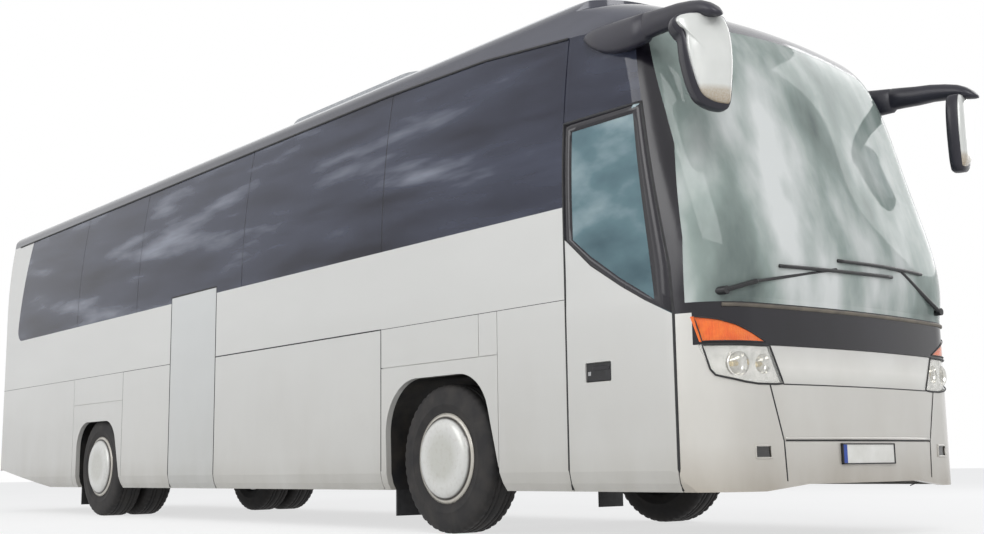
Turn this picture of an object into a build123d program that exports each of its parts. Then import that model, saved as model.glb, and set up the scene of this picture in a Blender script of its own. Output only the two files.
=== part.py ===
from build123d import *
from math import asin, atan2, cos, sin, sqrt
import os

# A two-axle high-deck touring coach, built as its real pieces, in millimetres.
# Stations run back from the nose (along Y), heights run up from the road (along Z),
# and the door side of the coach is at negative X.
# The finished pieces are moved so that the origin is under the middle of the coach.

# Body
BODY_LENGTH = 12100
HALF_WIDTH = 1275
SILL_HEIGHT = 300
WAIST_HEIGHT = 1495
GLASS_FOOT = 2090
SCREEN_FOOT = 1370
GUTTER_HEIGHT = 3360
ROOF_HEIGHT = 3540
WALL = 45
GLASS = 8
SEAM = 6
DOOR_GAP = 9
GLASS_GAP = 8
FRIT = 60
TIGHT = 0.3
FAR = 1500

# Floors and hold
DECK_HEIGHT = 1450
DECK_THICKNESS = 40
AISLE_HALF = 290
AISLE_BACK = 10990
HOLD_HEIGHT = 410
HOLD_THICKNESS = 50
HOLD_FRONT = 3360
HOLD_BACK = 8080
HOLD_EDGE = HALF_WIDTH - 95
BULKHEAD = 40
CAB_FLOOR = 1000
FIRST_TREAD = 400

# Doors and flaps, as stations and heights
DOOR_FRONT = 378
DOOR_BACK = 1290
DOOR_TOP = 2640
MIDDLE_FRONT = 6050
MIDDLE_BACK = 7000
MIDDLE_TOP = 2150
FLAP_FRONT = 3350
FLAP_BACK = 8120
REAR_SEAM = 11840

# Wheels and axles
FRONT_AXLE = 2630
WHEELBASE = 6160
REAR_AXLE = FRONT_AXLE + WHEELBASE
TYRE_R = 522
TYRE_WIDTH = 298
TREAD_HALF = 110
BEAD_HALF = 96
RIM_R = 286
TRACK_HALF = 1076
TWIN_SPACING = 340
KINGPIN_X = 906
KINGPIN_R = 20
STUB_R = 35
HUB_R = 95
AXLE_HEIGHT = TYRE_R
RUNNING_FIT = 0.05
COVER_R = 300
COVER_FLAT = 24

SPINDLE_R = 45
BOSS_LENGTH = 170

# Underframe rails
RAIL_X = 420
RAIL_WIDTH = 80
RAIL_FOOT = 820
RAIL_TOP = CAB_FLOOR - 40

# Side windows: stations of the seams between panes, front to back
PANE_SEAMS = [1290, 3340, 5570, 7830, 9450, 11400]

# Door columns: station of each column, and reach of its arms to the leaf
COLUMN_R = 24
COLUMN_X = 1160
ARM_REACH = 440
ARM_BULGE = 130
FRONT_COLUMN = DOOR_FRONT + 95
MIDDLE_COLUMN = MIDDLE_BACK - 95
FRONT_ARMS = (620, 1380)
MIDDLE_ARMS = (620, 1850)
ARM_THICK = 30
ARM_WIDTH = 34
PIN_R = 12

# Luggage flaps: name, side, front and back station
FLAPS = [
    ("luggage_flap_right", -1, FLAP_FRONT, MIDDLE_FRONT),
    ("luggage_flap_left_front", 1, FLAP_FRONT, 5735),
    ("luggage_flap_left_rear", 1, 5735, FLAP_BACK),
]

# Mirrors on their arms, at positive X
MIRROR_REACH = 170
MIRROR_ARM = [(1195, 1100, 3160), (1262, 526, 3072), (1318, 90, 3062), (1318, -75, 2920)]
MIRROR_SHELL = [(1230, 2440, 60), (1330, 2385, 40), (1450, 2600, 60), (1462, 2960, 60), (1240, 3010, 60)]

# Wipers: pivot, elbow, joint, blade ends, each as x and height on the windscreen
WIPERS = [
    ((-1130, 1430), (-940, 1487), (-240, 1610), ((-750, 1590), (-200, 1600), (350, 1612))),
    ((950, 1435), (490, 1660), (260, 1672), ((-220, 1665), (260, 1672), (740, 1668))),
]

# Roof
HATCH_FRONT = 6150
HATCH_BACK = 6750
HATCH_HALF = 350
AC_FRONT = 3400
AC_BACK = 5600
AC_HALF = 880
AC_TOP = 3690

# Seats
SEAT_START = 1700
SEAT_PITCH = 770
SEAT_ROWS = 12

# Rear end
REAR_FOOT = 500
REAR_BUMPER_TOP = 700
LID_HALF = 820
LID_FOOT = REAR_BUMPER_TOP
LID_TOP = 1600
LOUVRES = 8

# The sill turns in under the body: height, inset
SILL_SECTIONS = [(SILL_HEIGHT, 40), (350, 15), (420, 0)]

# Cross-section: the side leans in along one large arc, then a shoulder turns into the crown
LEAN_FOOT = 2040
LEAN_RADIUS = 7600
SHOULDER_HEIGHT = 3398
SHOULDER_RADIUS = 120

# Plan outlines of the nose, from the foot of the windscreen to the brow over it:
# height, nose station, nose radius, corner radius
NOSE_SECTIONS = [
    (1400, 0, 6500, 380),
    (2090, 90, 6500, 372),
    (2750, 285, 6400, 350),
    (3230, 500, 5500, 360),
    (3420, 800, 3200, 360),
]
CAP_BACK = 2300
TAIL_RADIUS = 9000
TAIL_CORNER = 260
TAIL_BROW = 320
CORNER_BITE = 2


def rounded_end(half, tip, big_r, small_r, way):
    """Points of a rounded end of an outline: side tangent, corner middle, corner end, tip."""
    big_y = tip + way * big_r
    corner_x = half - small_r
    corner_y = big_y - way * sqrt((big_r - small_r) ** 2 - corner_x**2)
    turn_x = corner_x / (big_r - small_r)
    turn_y = (corner_y - big_y) / (big_r - small_r)
    end = (big_r * turn_x, big_y + big_r * turn_y)
    span = sqrt((turn_x + 1) ** 2 + turn_y**2)
    middle = (corner_x + small_r * (turn_x + 1) / span, corner_y + small_r * turn_y / span)
    return (half, corner_y), middle, end, (0, tip)


def side_at(height):
    """Half width of the body at a height between the waist and the shoulder."""
    rise = max(0, height - LEAN_FOOT)
    return HALF_WIDTH - LEAN_RADIUS + sqrt(LEAN_RADIUS**2 - rise**2)


def nose_outline(row, depth):
    """The nose's outline at one height, open end at the back of the front doors, moved in by depth."""
    height, nose, nose_r, corner_r = row
    half = side_at(height)
    low, middle, end, tip = rounded_end(half - depth, nose + depth, nose_r - depth, corner_r - depth, 1)

    def at(point, side=1):
        return (side * point[0], point[1], height)

    back = (half - depth, DOOR_BACK)
    return Wire(
        [
            Edge.make_line(at(back, -1), at(low, -1)),
            Edge.make_three_point_arc(at(low, -1), at(middle, -1), at(end, -1)),
            Edge.make_three_point_arc(at(end, -1), at(tip), at(end)),
            Edge.make_three_point_arc(at(end), at(middle), at(low)),
            Edge.make_line(at(low), at(back)),
            Edge.make_line(at(back), at(back, -1)),
        ]
    )


def tail_outline(depth):
    """The tail's plan outline on the road, a little wider than the body so that its corners cut in."""
    half = HALF_WIDTH - depth + CORNER_BITE
    low, middle, end, tip = rounded_end(half, BODY_LENGTH - depth, TAIL_RADIUS - depth, TAIL_CORNER - depth, -1)
    front = DOOR_BACK - 100
    edges = [Edge.make_line((-half, front), (half, front)), Edge.make_three_point_arc((-end[0], end[1]), tip, end)]
    for side in (-1, 1):
        edges.append(Edge.make_line((side * half, front), (side * half, low[1])))
        points = [(side * x, y) for x, y in (low, middle, end)]
        edges.append(Edge.make_three_point_arc(*points))
    return Wire(edges)


def cross_section(depth):
    """The body's section as a face in XZ, moved in by depth; a moved-in one runs out below."""
    lean = (HALF_WIDTH - LEAN_RADIUS, LEAN_FOOT)
    reach = LEAN_RADIUS - SHOULDER_RADIUS
    rise = (SHOULDER_HEIGHT - LEAN_FOOT) / reach
    run = sqrt(1 - rise**2)
    shoulder = (lean[0] + reach * run, SHOULDER_HEIGHT)
    drop = ROOF_HEIGHT - SHOULDER_HEIGHT
    crown = (shoulder[0] ** 2 + drop**2 - SHOULDER_RADIUS**2) / (2 * (drop - SHOULDER_RADIUS))
    crown_run = shoulder[0] / (crown - SHOULDER_RADIUS)
    crown_rise = sqrt(1 - crown_run**2)
    side_r, shoulder_r, crown_r = LEAN_RADIUS - depth, SHOULDER_RADIUS - depth, crown - depth
    sill = [(HALF_WIDTH - depth - inset, z) for z, inset in SILL_SECTIONS]
    if depth:
        sill.insert(0, (sill[0][0], SILL_HEIGHT - 4 * WALL))
    half_rise = sin(0.5 * asin(rise))
    side_middle = (lean[0] + side_r * sqrt(1 - half_rise**2), lean[1] + side_r * half_rise)
    side_top = (lean[0] + side_r * run, lean[1] + side_r * rise)
    bisector = atan2(rise + crown_rise, run + crown_run)
    shoulder_middle = (shoulder[0] + shoulder_r * cos(bisector), shoulder[1] + shoulder_r * sin(bisector))
    crown_end = (crown_r * crown_run, ROOF_HEIGHT - crown + crown_r * crown_rise)
    edges = []
    for side in (-1, 1):

        def at(point):
            return (side * point[0], 0, point[1])

        corners = sill + [(HALF_WIDTH - depth, LEAN_FOOT)]
        edges += [Edge.make_line(at(a), at(b)) for a, b in zip(corners, corners[1:])]
        edges.append(Edge.make_three_point_arc(at(corners[-1]), at(side_middle), at(side_top)))
        edges.append(Edge.make_three_point_arc(at(side_top), at(shoulder_middle), at(crown_end)))
    edges.append(Edge.make_line((-sill[0][0], 0, sill[0][1]), (sill[0][0], 0, sill[0][1])))
    top = (0, 0, ROOF_HEIGHT - depth)
    left = (-crown_end[0], 0, crown_end[1])
    right = (crown_end[0], 0, crown_end[1])
    edges.append(Edge.make_three_point_arc(left, top, right))
    return Face(Wire(edges))


def hull(depth):
    """The whole outer form of the coach, moved in by depth; a moved-in form also runs out below."""
    section = cross_section(depth)
    foot = SILL_HEIGHT - 4 * WALL if depth else SILL_HEIGHT
    main = extrude(Pos(0, DOOR_BACK, 0) * section, amount=BODY_LENGTH, dir=(0, 1, 0))
    main &= extrude(Face(tail_outline(depth)), amount=4000, dir=(0, 0, 1))

    base = NOSE_SECTIONS[0]
    low_nose = extrude(Face(nose_outline(base, depth)), amount=base[0] - foot, dir=(0, 0, -1))
    low_nose &= extrude(section, amount=DOOR_BACK, dir=(0, 1, 0))
    screen = Solid.make_loft([nose_outline(row, depth) for row in NOSE_SECTIONS])
    cap = extrude(Face(nose_outline(NOSE_SECTIONS[-1], depth)), amount=400, dir=(0, 0, 1))
    cap &= extrude(section, amount=DOOR_BACK, dir=(0, 1, 0))
    body = main + low_nose + screen + cap
    return body & roof_line(depth)


def roof_line(depth):
    """All that lies under the roof's line in side view, moved in by depth."""
    start, brow = NOSE_SECTIONS[-1][1], NOSE_SECTIONS[-1][0]
    run, rise = CAP_BACK - start, ROOF_HEIGHT - brow
    radius = (run**2 + rise**2) / (2 * rise)
    centre = ROOF_HEIGHT - radius
    turn = asin(run / radius)
    big = radius - depth
    first = (CAP_BACK - big * sin(turn), centre + big * cos(turn))
    middle = (CAP_BACK - big * sin(turn / 2), centre + big * cos(turn / 2))
    last = (CAP_BACK, centre + big)
    tail_y, tail_z = BODY_LENGTH - TAIL_BROW, ROOF_HEIGHT - TAIL_BROW
    small = TAIL_BROW - depth
    turned = small * sqrt(0.5)
    far = -FAR
    points = [(far, 0), (far, first[1]), first]
    edges = [Edge.make_line(a, b) for a, b in zip(points, points[1:])]
    edges.append(Edge.make_three_point_arc(first, middle, last))
    edges.append(Edge.make_line(last, (tail_y, tail_z + small)))
    edges.append(
        Edge.make_three_point_arc(
            (tail_y, tail_z + small), (tail_y + turned, tail_z + turned), (tail_y + small, tail_z)
        )
    )
    edges.append(Edge.make_line((tail_y + small, tail_z), (tail_y + small, 0)))
    edges.append(Edge.make_line((tail_y + small, 0), (far, 0)))
    face = Plane.YZ.offset(-FAR) * Face(Wire(edges))
    return extrude(face, amount=2 * FAR, dir=(1, 0, 0))


def block(x0, x1, y0, y1, z0, z1):
    """A box between two corners."""
    return Pos((x0 + x1) / 2, (y0 + y1) / 2, (z0 + z1) / 2) * Box(abs(x1 - x0), abs(y1 - y0), abs(z1 - z0))


def outline_face(rows):
    """A flat face from rows of across, up, corner radius."""
    face = Face(Wire.make_polygon([(a, b) for a, b, _ in rows], close=True))
    for a, b, radius in rows:
        if radius:
            corner = face.vertices().sort_by_distance((a, b, 0))[0]
            face = face.fillet_2d(radius, [corner])
    return face


def side_prism(rows, x0, x1):
    """A solid with this outline in side view (station, height, radius), from x0 to x1."""
    return extrude(Plane.YZ.offset(x0) * outline_face(rows), amount=x1 - x0, dir=(1, 0, 0))


def front_prism(rows, y0, y1):
    """A solid with this outline in front view (x, height, radius), from y0 to y1."""
    return extrude(Plane.XZ.offset(-y0) * outline_face(rows), amount=y1 - y0, dir=(0, 1, 0))


def rod(x, y, z, radius, length, axis):
    """A round bar that starts at a point and runs along one axis."""
    turn = {"X": (0, 90, 0), "Y": (-90, 0, 0), "Z": (0, 0, 0)}[axis]
    low = (Align.CENTER, Align.CENTER, Align.MIN)
    return Pos(x, y, z) * Rot(*turn) * Cylinder(radius, length, align=low)


def mirrored(shape):
    return mirror(shape, about=Plane.YZ)


def pair(shape):
    """The same piece on both sides of the coach."""
    return [shape, mirrored(shape)]


def gathered(shapes):
    """Separate solids that share one node."""
    solids = [solid for shape in shapes for solid in shape.solids()]
    return Compound(solids)


PIECES = {}


def keep(name, *shapes):
    PIECES[name] = gathered(shapes)


# Wheel arches in side view: station, height, corner radius
FRONT_ARCH = [
    (FRONT_AXLE - 725, 200, 0),
    (FRONT_AXLE - 480, 1100, 330),
    (FRONT_AXLE + 670, 1100, 390),
    (FRONT_AXLE + 640, 200, 0),
]
REAR_ARCH = [
    (REAR_AXLE - 690, 200, 0),
    (REAR_AXLE - 440, 1003, 280),
    (REAR_AXLE + 555, 1003, 300),
    (REAR_AXLE + 555, 200, 0),
]
REAR_HOUSING = [
    (REAR_AXLE - 692, 200, 0),
    (REAR_AXLE - 600, 1100, 200),
    (REAR_AXLE + 580, 1100, 200),
    (REAR_AXLE + 580, 200, 0),
]

# The line between roof and windows, in side view
GUTTER_LINE = [(-200, 3120), (600, 3165), (1300, 3241), (2180, 3325), (3400, GUTTER_HEIGHT)]

# The foot of the front side glass sweeps down to the front, in side view
GLASS_SWEEP = [(DOOR_BACK, 1885), (1055, 1680), (800, 1524), (600, 1416), (DOOR_FRONT, 1310)]
DOOR_WINDOW = [
    (1205, 2570, 40),
    (1205, 1866, 30),
    (1052, 1742, 300),
    (797, 1572, 300),
    (520, 1412, 40),
    (660, 2570, 30),
]

# The side edge and head of the windscreen, and the back of the pillar behind it
SCREEN_EDGE = [(310, SCREEN_FOOT), (310, 1750), (385, 2330), (445, 2530), (605, 3030), (680, 3300)]
SCREEN_TOP = 3220
SCREEN_DROP = 100
SCREEN_HEAD_STATION = 620
PILLAR_BACK = [(DOOR_FRONT, 1330), (395, 1600), (600, DOOR_TOP), (760, 3400)]

# Front lamps in front view, for the side at positive X: x, height, corner radius
HEADLAMP = [
    (830, 1128, 12),
    (730, 903, 12),
    (960, 900, 120),
    (1175, 945, 60),
    (1222, 1128, 10),
]
INDICATOR = [
    (845, 1141, 8),
    (1216, 1141, 4),
    (1240, 1290, 4),
    (1060, 1240, 200),
]
LAMP_BACK = 400
LAMP_DEPTH = 135
LAMP_SIDE = 275
LAMP_BOWLS = [(1050, 72), (880, 60)]
BOWL_DEPTH = 110
FOG_LAMP = [(845, 480, 20), (975, 480, 30), (975, 562, 30), (850, 562, 20)]
HEAD_SEAM = [(840, 900), (750, 580), (735, 200)]
BUMPER_SEAM = 580
BAND_FOOT = 1125
BAND_TOP = 1330
CORNER_TOP = 1310
ARCH_SEAM = 1200
PLATE_WIDTH = 520
PLATE_HEIGHT = 110

LOW = (Align.CENTER, Align.CENTER, Align.MIN)


OUTER = hull(0)
BEHIND_GLASS = hull(GLASS + TIGHT)
INSIDE = hull(WALL)
SKIN = OUTER - INSIDE
BACKING = BEHIND_GLASS - INSIDE
REBATE = OUTER - BEHIND_GLASS
GLASS_SKIN = OUTER - hull(GLASS)


def span(y0, y1, z0, z1, side=0):
    """A region of the body between two stations and two heights, on one side or on both."""
    if side:
        return block(side * FAR, side * 600, y0, y1, z0, z1)
    return block(-FAR, FAR, y0, y1, z0, z1)


def roof_zone():
    """Everything above the gutter line and the curved head of the windscreen."""
    rows = [(y, z, 0) for y, z in GUTTER_LINE]
    rows += [(BODY_LENGTH + 200, GUTTER_HEIGHT, 0), (BODY_LENGTH + 200, 4000, 0), (-200, 4000, 0)]
    side_zone = side_prism(rows, -FAR, FAR)
    front = span(-200, SCREEN_HEAD_STATION, 3000, 4000)
    head = [
        Edge.make_three_point_arc((-1130, SCREEN_TOP - SCREEN_DROP), (0, SCREEN_TOP), (1130, SCREEN_TOP - SCREEN_DROP)),
        *Wire.make_polygon(
            [
                (1130, SCREEN_TOP - SCREEN_DROP),
                (FAR, SCREEN_TOP - 2 * SCREEN_DROP),
                (FAR, 4000),
                (-FAR, 4000),
                (-FAR, SCREEN_TOP - 2 * SCREEN_DROP),
                (-1130, SCREEN_TOP - SCREEN_DROP),
            ],
            close=False,
        ).edges(),
    ]
    cap = extrude(Plane.XZ.offset(200) * Face(Wire(head)), amount=200 + SCREEN_HEAD_STATION, dir=(0, 1, 0))
    return (side_zone - front) + (cap & front)


ROOF_ZONE = roof_zone()
BELOW_ROOF = span(-300, BODY_LENGTH + 300, 0, 4000) - ROOF_ZONE
SCREEN_ZONE = side_prism(
    [(y, z, 0) for y, z in SCREEN_EDGE] + [(-200, SCREEN_EDGE[-1][1], 0), (-200, SCREEN_FOOT, 0)], -FAR, FAR
)
PILLAR_ZONE = side_prism([(y, z, 0) for y, z in PILLAR_BACK] + [(-200, 3400, 0), (-200, BAND_TOP, 0)], -FAR, FAR)
ABOVE_SWEEP = side_prism([(y, z, 0) for y, z in GLASS_SWEEP] + [(DOOR_FRONT, 2900, 0), (DOOR_BACK, 2900, 0)], -FAR, FAR)
LAMP_HOLES = gathered(
    pair(front_prism(HEADLAMP, -50, LAMP_BACK)) + pair(front_prism(INDICATOR, -50, LAMP_BACK))
)


def grooves(seams, side):
    """Narrow grooves in the outer face along seams: station, foot, head, or height, from, to."""
    cuts = []
    for kind, at, low, high in seams:
        if kind == "up":
            cuts.append(span(at - SEAM / 2, at + SEAM / 2, low, high, side))
        else:
            cuts.append(span(low, high, at - SEAM / 2, at + SEAM / 2, side))
    return [cut & GLASS_SKIN for cut in cuts]


def front_end():
    """Windscreen and its frame, the black and silver bands, corners, bumper and lamps."""
    keep("windscreen", GLASS_SKIN & SCREEN_ZONE & BELOW_ROOF)
    hole_rows = [(y - FRIT, z, 0) for y, z in SCREEN_EDGE]
    hole_rows += [(-200, SCREEN_EDGE[-1][1], 0), (-200, SCREEN_FOOT + FRIT, 0)]
    hole_rows[0] = (SCREEN_EDGE[0][0] - FRIT, SCREEN_FOOT + FRIT, 0)
    screen_hole = side_prism(hole_rows, -FAR, FAR) - Pos(0, 0, -FRIT) * ROOF_ZONE
    frame = (SKIN & PILLAR_ZONE & BELOW_ROOF & span(-200, 900, BAND_TOP, 3400)) - screen_hole
    keep("screen_frame", frame - (REBATE & SCREEN_ZONE))

    nose = SKIN & span(-100, DOOR_FRONT, SILL_HEIGHT, BAND_TOP)
    band = nose & span(-100, DOOR_FRONT, BAND_FOOT, BAND_TOP)
    white = span(LAMP_SIDE, DOOR_FRONT, BAND_FOOT, CORNER_TOP)
    keep("front_band", band - LAMP_HOLES - white)
    seam = [(-x, z, 0) for x, z in HEAD_SEAM] + [(x, z, 0) for x, z in reversed(HEAD_SEAM)]
    centre = front_prism(seam, -100, DOOR_FRONT)
    silver = nose & block(-HEADLAMP[0][0], HEADLAMP[0][0], -100, 250, HEAD_SEAM[0][1], BAND_FOOT)
    keep("silver_band", silver - LAMP_HOLES)

    arch = [(-900, 200, 0), (900, 200, 0), (900, SILL_HEIGHT, 0), (560, 335, 0), (-560, 335, 0), (-900, SILL_HEIGHT, 0)]
    under = front_prism(arch, -100, DOOR_FRONT)
    seam_cut = span(-100, 200, BUMPER_SEAM - SEAM / 2, BUMPER_SEAM + SEAM / 2) & GLASS_SKIN
    bumper = (nose & centre) - under - (seam_cut & block(-800, 800, -100, 200, 500, 700)) - LAMP_HOLES
    keep("bumper", bumper)
    corner = (nose & span(-100, DOOR_FRONT, SILL_HEIGHT, CORNER_TOP)) - centre - under
    corner -= block(-HEADLAMP[0][0], HEADLAMP[0][0], -100, 250, HEAD_SEAM[0][1] - 1, 1400)
    corner = corner - LAMP_HOLES - span(-100, LAMP_SIDE, BAND_FOOT, 1400)
    fog = front_prism(FOG_LAMP, -50, 250)
    keep("front_corners", corner - gathered(pair(fog)))
    fog = fog & BEHIND_GLASS & block(0, FAR, -50, 190, 400, 700)

    lens = front_prism(HEADLAMP, -50, LAMP_BACK)
    keep("lamp_lenses", *pair(lens & GLASS_SKIN))
    lamp_back = extrude(Face(nose_outline(NOSE_SECTIONS[0], LAMP_DEPTH)), amount=1400, dir=(0, 0, -1))
    housing = (lens & BEHIND_GLASS) - lamp_back
    for x, radius in LAMP_BOWLS:
        depth = nose_station(x) + BOWL_DEPTH
        bowl = Pos(x, depth, 1018) * Rot(90, 0, 0) * Cone(radius * 0.35, radius, BOWL_DEPTH, align=LOW)
        bowl += Pos(x, depth - BOWL_DEPTH, 1018) * Rot(90, 0, 0) * Cylinder(radius, BOWL_DEPTH, align=LOW)
        housing -= bowl
    keep("headlamps", *pair(housing), *pair(fog))
    keep("indicators", *pair(front_prism(INDICATOR, -50, LAMP_BACK) & SKIN & span(-50, DOOR_FRONT, 0, FAR)))

    plate = block(-PLATE_WIDTH / 2, PLATE_WIDTH / 2, -6, 20, 450, 450 + PLATE_HEIGHT) - OUTER
    back = block(-PLATE_WIDTH / 2, PLATE_WIDTH / 2, BODY_LENGTH - 30, BODY_LENGTH + 6, 470, 470 + PLATE_HEIGHT)
    keep("number_plates", plate, back - OUTER)


def nose_station(x):
    """Station of the body's lower front face at a distance from the middle."""
    nose_r, corner_r = NOSE_SECTIONS[0][2:4]
    side, middle, end, tip = rounded_end(HALF_WIDTH, 0, nose_r, corner_r, 1)
    if abs(x) <= end[0]:
        return nose_r - sqrt(nose_r**2 - x**2)
    return side[1] - sqrt(corner_r**2 - (abs(x) - (HALF_WIDTH - corner_r)) ** 2)


def side_bodywork():
    """Lower side panels, waist panels, window frames and panes of both sides."""
    arches = side_prism(FRONT_ARCH, -FAR, FAR) + side_prism(REAR_ARCH, -FAR, FAR)
    tail_rise = side_prism([(10200, 200, 0), (12300, 200, 0), (12300, 570, 0), (11880, 520, 0), (10200, 300, 0)], -FAR, FAR)
    low = SKIN & span(DOOR_BACK, REAR_SEAM, SILL_HEIGHT, WAIST_HEIGHT)
    low = low - arches - tail_rise
    common = [("up", y, SILL_HEIGHT, WAIST_HEIGHT) for y in (1970, 8120, 9460)]
    common += [("up", 2170, ARCH_SEAM, WAIST_HEIGHT)]
    common += [("along", ARCH_SEAM, 1970, FLAP_FRONT), ("along", ARCH_SEAM, 8120, 9460)]
    common += [("along", WAIST_HEIGHT, DOOR_BACK, REAR_SEAM)]
    right = (low & span(0, 13000, 0, 4000, -1)) - gathered(grooves(common, -1))
    right -= span(FLAP_FRONT, MIDDLE_BACK, 0, 4000, -1)
    keep("side_panels_right", right)
    left = (low & span(0, 13000, 0, 4000, 1)) - gathered(grooves(common, 1))
    left -= span(FLAP_FRONT, FLAP_BACK, 0, 4000, 1)
    cab = SKIN & span(DOOR_FRONT, DOOR_BACK, SILL_HEIGHT, DOOR_TOP, 1)
    keep("side_panels_left", left, cab - ABOVE_SWEEP)

    band_rows = [(DOOR_BACK, GLASS_FOOT, 0), (11430, GLASS_FOOT, 150), (11300, 3400, 0), (DOOR_BACK, 3400, 0)]
    band = side_prism(band_rows, -FAR, FAR)
    middle_door = span(MIDDLE_FRONT, MIDDLE_BACK, 0, MIDDLE_TOP, -1)
    upper = SKIN & span(DOOR_BACK, REAR_SEAM, WAIST_HEIGHT, 3400) & BELOW_ROOF
    keep("waist_panels", upper - band - middle_door)

    front_quarter = span(DOOR_FRONT, DOOR_BACK, DOOR_TOP, 3400, -1) - PILLAR_ZONE
    driver = (ABOVE_SWEEP + span(DOOR_FRONT, DOOR_BACK, 2890, 3400)) & span(0, 2000, 0, 4000, 1)
    driver -= PILLAR_ZONE
    zone = (band + front_quarter + driver) & BELOW_ROOF
    zone -= middle_door
    openings = []
    for seam, (low_y, high_y) in enumerate(zip(PANE_SEAMS, PANE_SEAMS[1:])):
        foot = (MIDDLE_TOP if seam == 2 else GLASS_FOOT) + FRIT
        openings.append(span(low_y + FRIT, high_y - FRIT, foot, GUTTER_HEIGHT - FRIT))
    openings.append(span(DOOR_BACK - 560, DOOR_BACK - FRIT, DOOR_TOP + FRIT, 3120, -1) - Pos(0, FRIT, 0) * PILLAR_ZONE)
    openings.append(side_prism(DOOR_WINDOW, 600, FAR))
    frames = (BACKING & zone) - (gathered(openings) - Pos(0, 0, -FRIT) * ROOF_ZONE)
    keep("window_frames", frames - span(DOOR_BACK - TIGHT, DOOR_BACK + TIGHT, 1300, 4000))
    joints = [span(y - GLASS_GAP / 2, y + GLASS_GAP / 2, 1300, 3400) for y in PANE_SEAMS[:-1]]
    keep("side_glass", (GLASS_SKIN & zone) - gathered(joints))


def rear_end():
    """Rear wall with its window, lamps, bumper and louvred engine lid."""
    wall = SKIN & span(REAR_SEAM, 13000, REAR_BUMPER_TOP, 3400) & BELOW_ROOF
    lid_hole = block(-LID_HALF, LID_HALF, 11900, 12300, LID_FOOT, LID_TOP)
    lamps = gathered([block(s * 960, s * 1400, 11700, 12300, 780, 1400) for s in (-1, 1)])
    window = block(-1020, 1020, 11600, 12300, 2080, 3180)
    window_hole = block(-1020 + FRIT, 1020 - FRIT, 11600, 12300, 2080 + FRIT, 3180 - FRIT)
    bumper = SKIN & span(REAR_SEAM, 13000, REAR_FOOT, REAR_BUMPER_TOP)
    keep("rear_wall", wall - lid_hole - lamps - (window & REBATE) - window_hole, bumper)
    keep("rear_window", GLASS_SKIN & window)
    keep("tail_lamps", *(SKIN & span(REAR_SEAM, 13000, 780, 1400) & lamps).solids())
    lid = SKIN & block(-LID_HALF + 6, LID_HALF - 6, 11900, 12300, LID_FOOT + 6, LID_TOP - 6)
    for row in range(LOUVRES):
        z = LID_FOOT + 160 + row * 70
        lid -= block(-560, 560, 11900, 12300, z, z + 30)
    keep("engine_lid", lid)


def floors():
    """Deck, cab floor, steps, hold floor, bulkheads and wheel housings."""
    deck = INSIDE & span(1450, 11830, DECK_HEIGHT - DECK_THICKNESS, DECK_HEIGHT)
    edge = HALF_WIDTH - WALL - 20
    deck -= block(-FAR, -edge, FLAP_FRONT - 20, MIDDLE_BACK + 20, 1300, 1500)
    deck -= block(edge, FAR, FLAP_FRONT - 20, FLAP_BACK + 20, 1300, 1500)
    deck -= block(-FAR, -480, MIDDLE_FRONT + 20, MIDDLE_BACK - 20, 1300, 1500)
    aisle = block(-AISLE_HALF, AISLE_HALF, 1400, AISLE_BACK, 1300, 1500)
    seam = block(-AISLE_HALF - TIGHT, AISLE_HALF + TIGHT, 1400, AISLE_BACK + TIGHT, 1300, 1500)
    keep("deck_floor", deck & aisle, deck - seam)
    cab = INSIDE & block(-420, FAR, 400, 1450, CAB_FLOOR - 40, CAB_FLOOR)
    riser = INSIDE & span(1410, 1450, CAB_FLOOR - 40, DECK_HEIGHT)
    keep("cab_floor", cab + riser)
    front_steps = stair([(-1180, FIRST_TREAD), (-900, 700), (-660, CAB_FLOOR)], -420, 420, 1270)
    middle_steps = stair([(-1180, FIRST_TREAD), (-960, 750), (-800, 1100), (-640, DECK_HEIGHT)], -480, 6080, 6970)
    keep("steps", front_steps, middle_steps)

    edge, hold_foot, start = HOLD_EDGE, HOLD_HEIGHT - HOLD_THICKNESS, HOLD_FRONT + 10
    hold = block(-edge, edge, start + BULKHEAD, HOLD_BACK - BULKHEAD, hold_foot, HOLD_HEIGHT)
    hold -= block(-FAR, -920, MIDDLE_FRONT + 10, MIDDLE_BACK - 10, 300, 500)
    keep("hold_floor", hold)
    under_deck = DECK_HEIGHT - DECK_THICKNESS
    keep(
        "bulkheads",
        block(-edge, edge, start, start + BULKHEAD, hold_foot, under_deck),
        block(-edge, edge, HOLD_BACK - BULKHEAD, HOLD_BACK, hold_foot, under_deck),
    )
    keep(
        "wheelhouses",
        *pair(wheelhouse(FRONT_ARCH, 546)),
        *pair(wheelhouse(REAR_HOUSING, 560)),
    )


def stair(treads, end, y0, y1):
    """A bent-plate stair that climbs inboard: rows of outboard edge and tread height."""
    thick = 40
    top = [(treads[0][0], treads[0][1] - thick)]
    under = []
    for (x, z), (next_x, _) in zip(treads, treads[1:] + [(end, 0)]):
        top += [(x, z), (next_x, z)]
        under.append((x + thick, z - thick))
        if next_x != end:
            under.append((next_x + thick, z - thick))
    under = under[1:]
    rows = [(x, z, 0) for x, z in top + [(end, treads[-1][1] - thick)] + under[::-1]]
    return front_prism(rows, y0, y1)


def wheelhouse(rows, inner_x):
    """A housing over a wheel: the arch's outline as a sheet, closed by an inner wall."""
    sheet = 16
    opening = outline_face(rows)
    shell = offset(opening, sheet, kind=Kind.ARC)
    body = extrude(Plane.YZ.offset(inner_x - sheet) * shell, amount=HALF_WIDTH - WALL - inner_x + sheet, dir=(1, 0, 0))
    body -= extrude(Plane.YZ.offset(inner_x) * opening, amount=FAR, dir=(1, 0, 0))
    open_foot = block(0, inner_x + 1, 0, 13000, 0, RAIL_FOOT) + span(0, 13000, 0, SILL_HEIGHT)
    return (body & INSIDE) - open_foot


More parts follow.
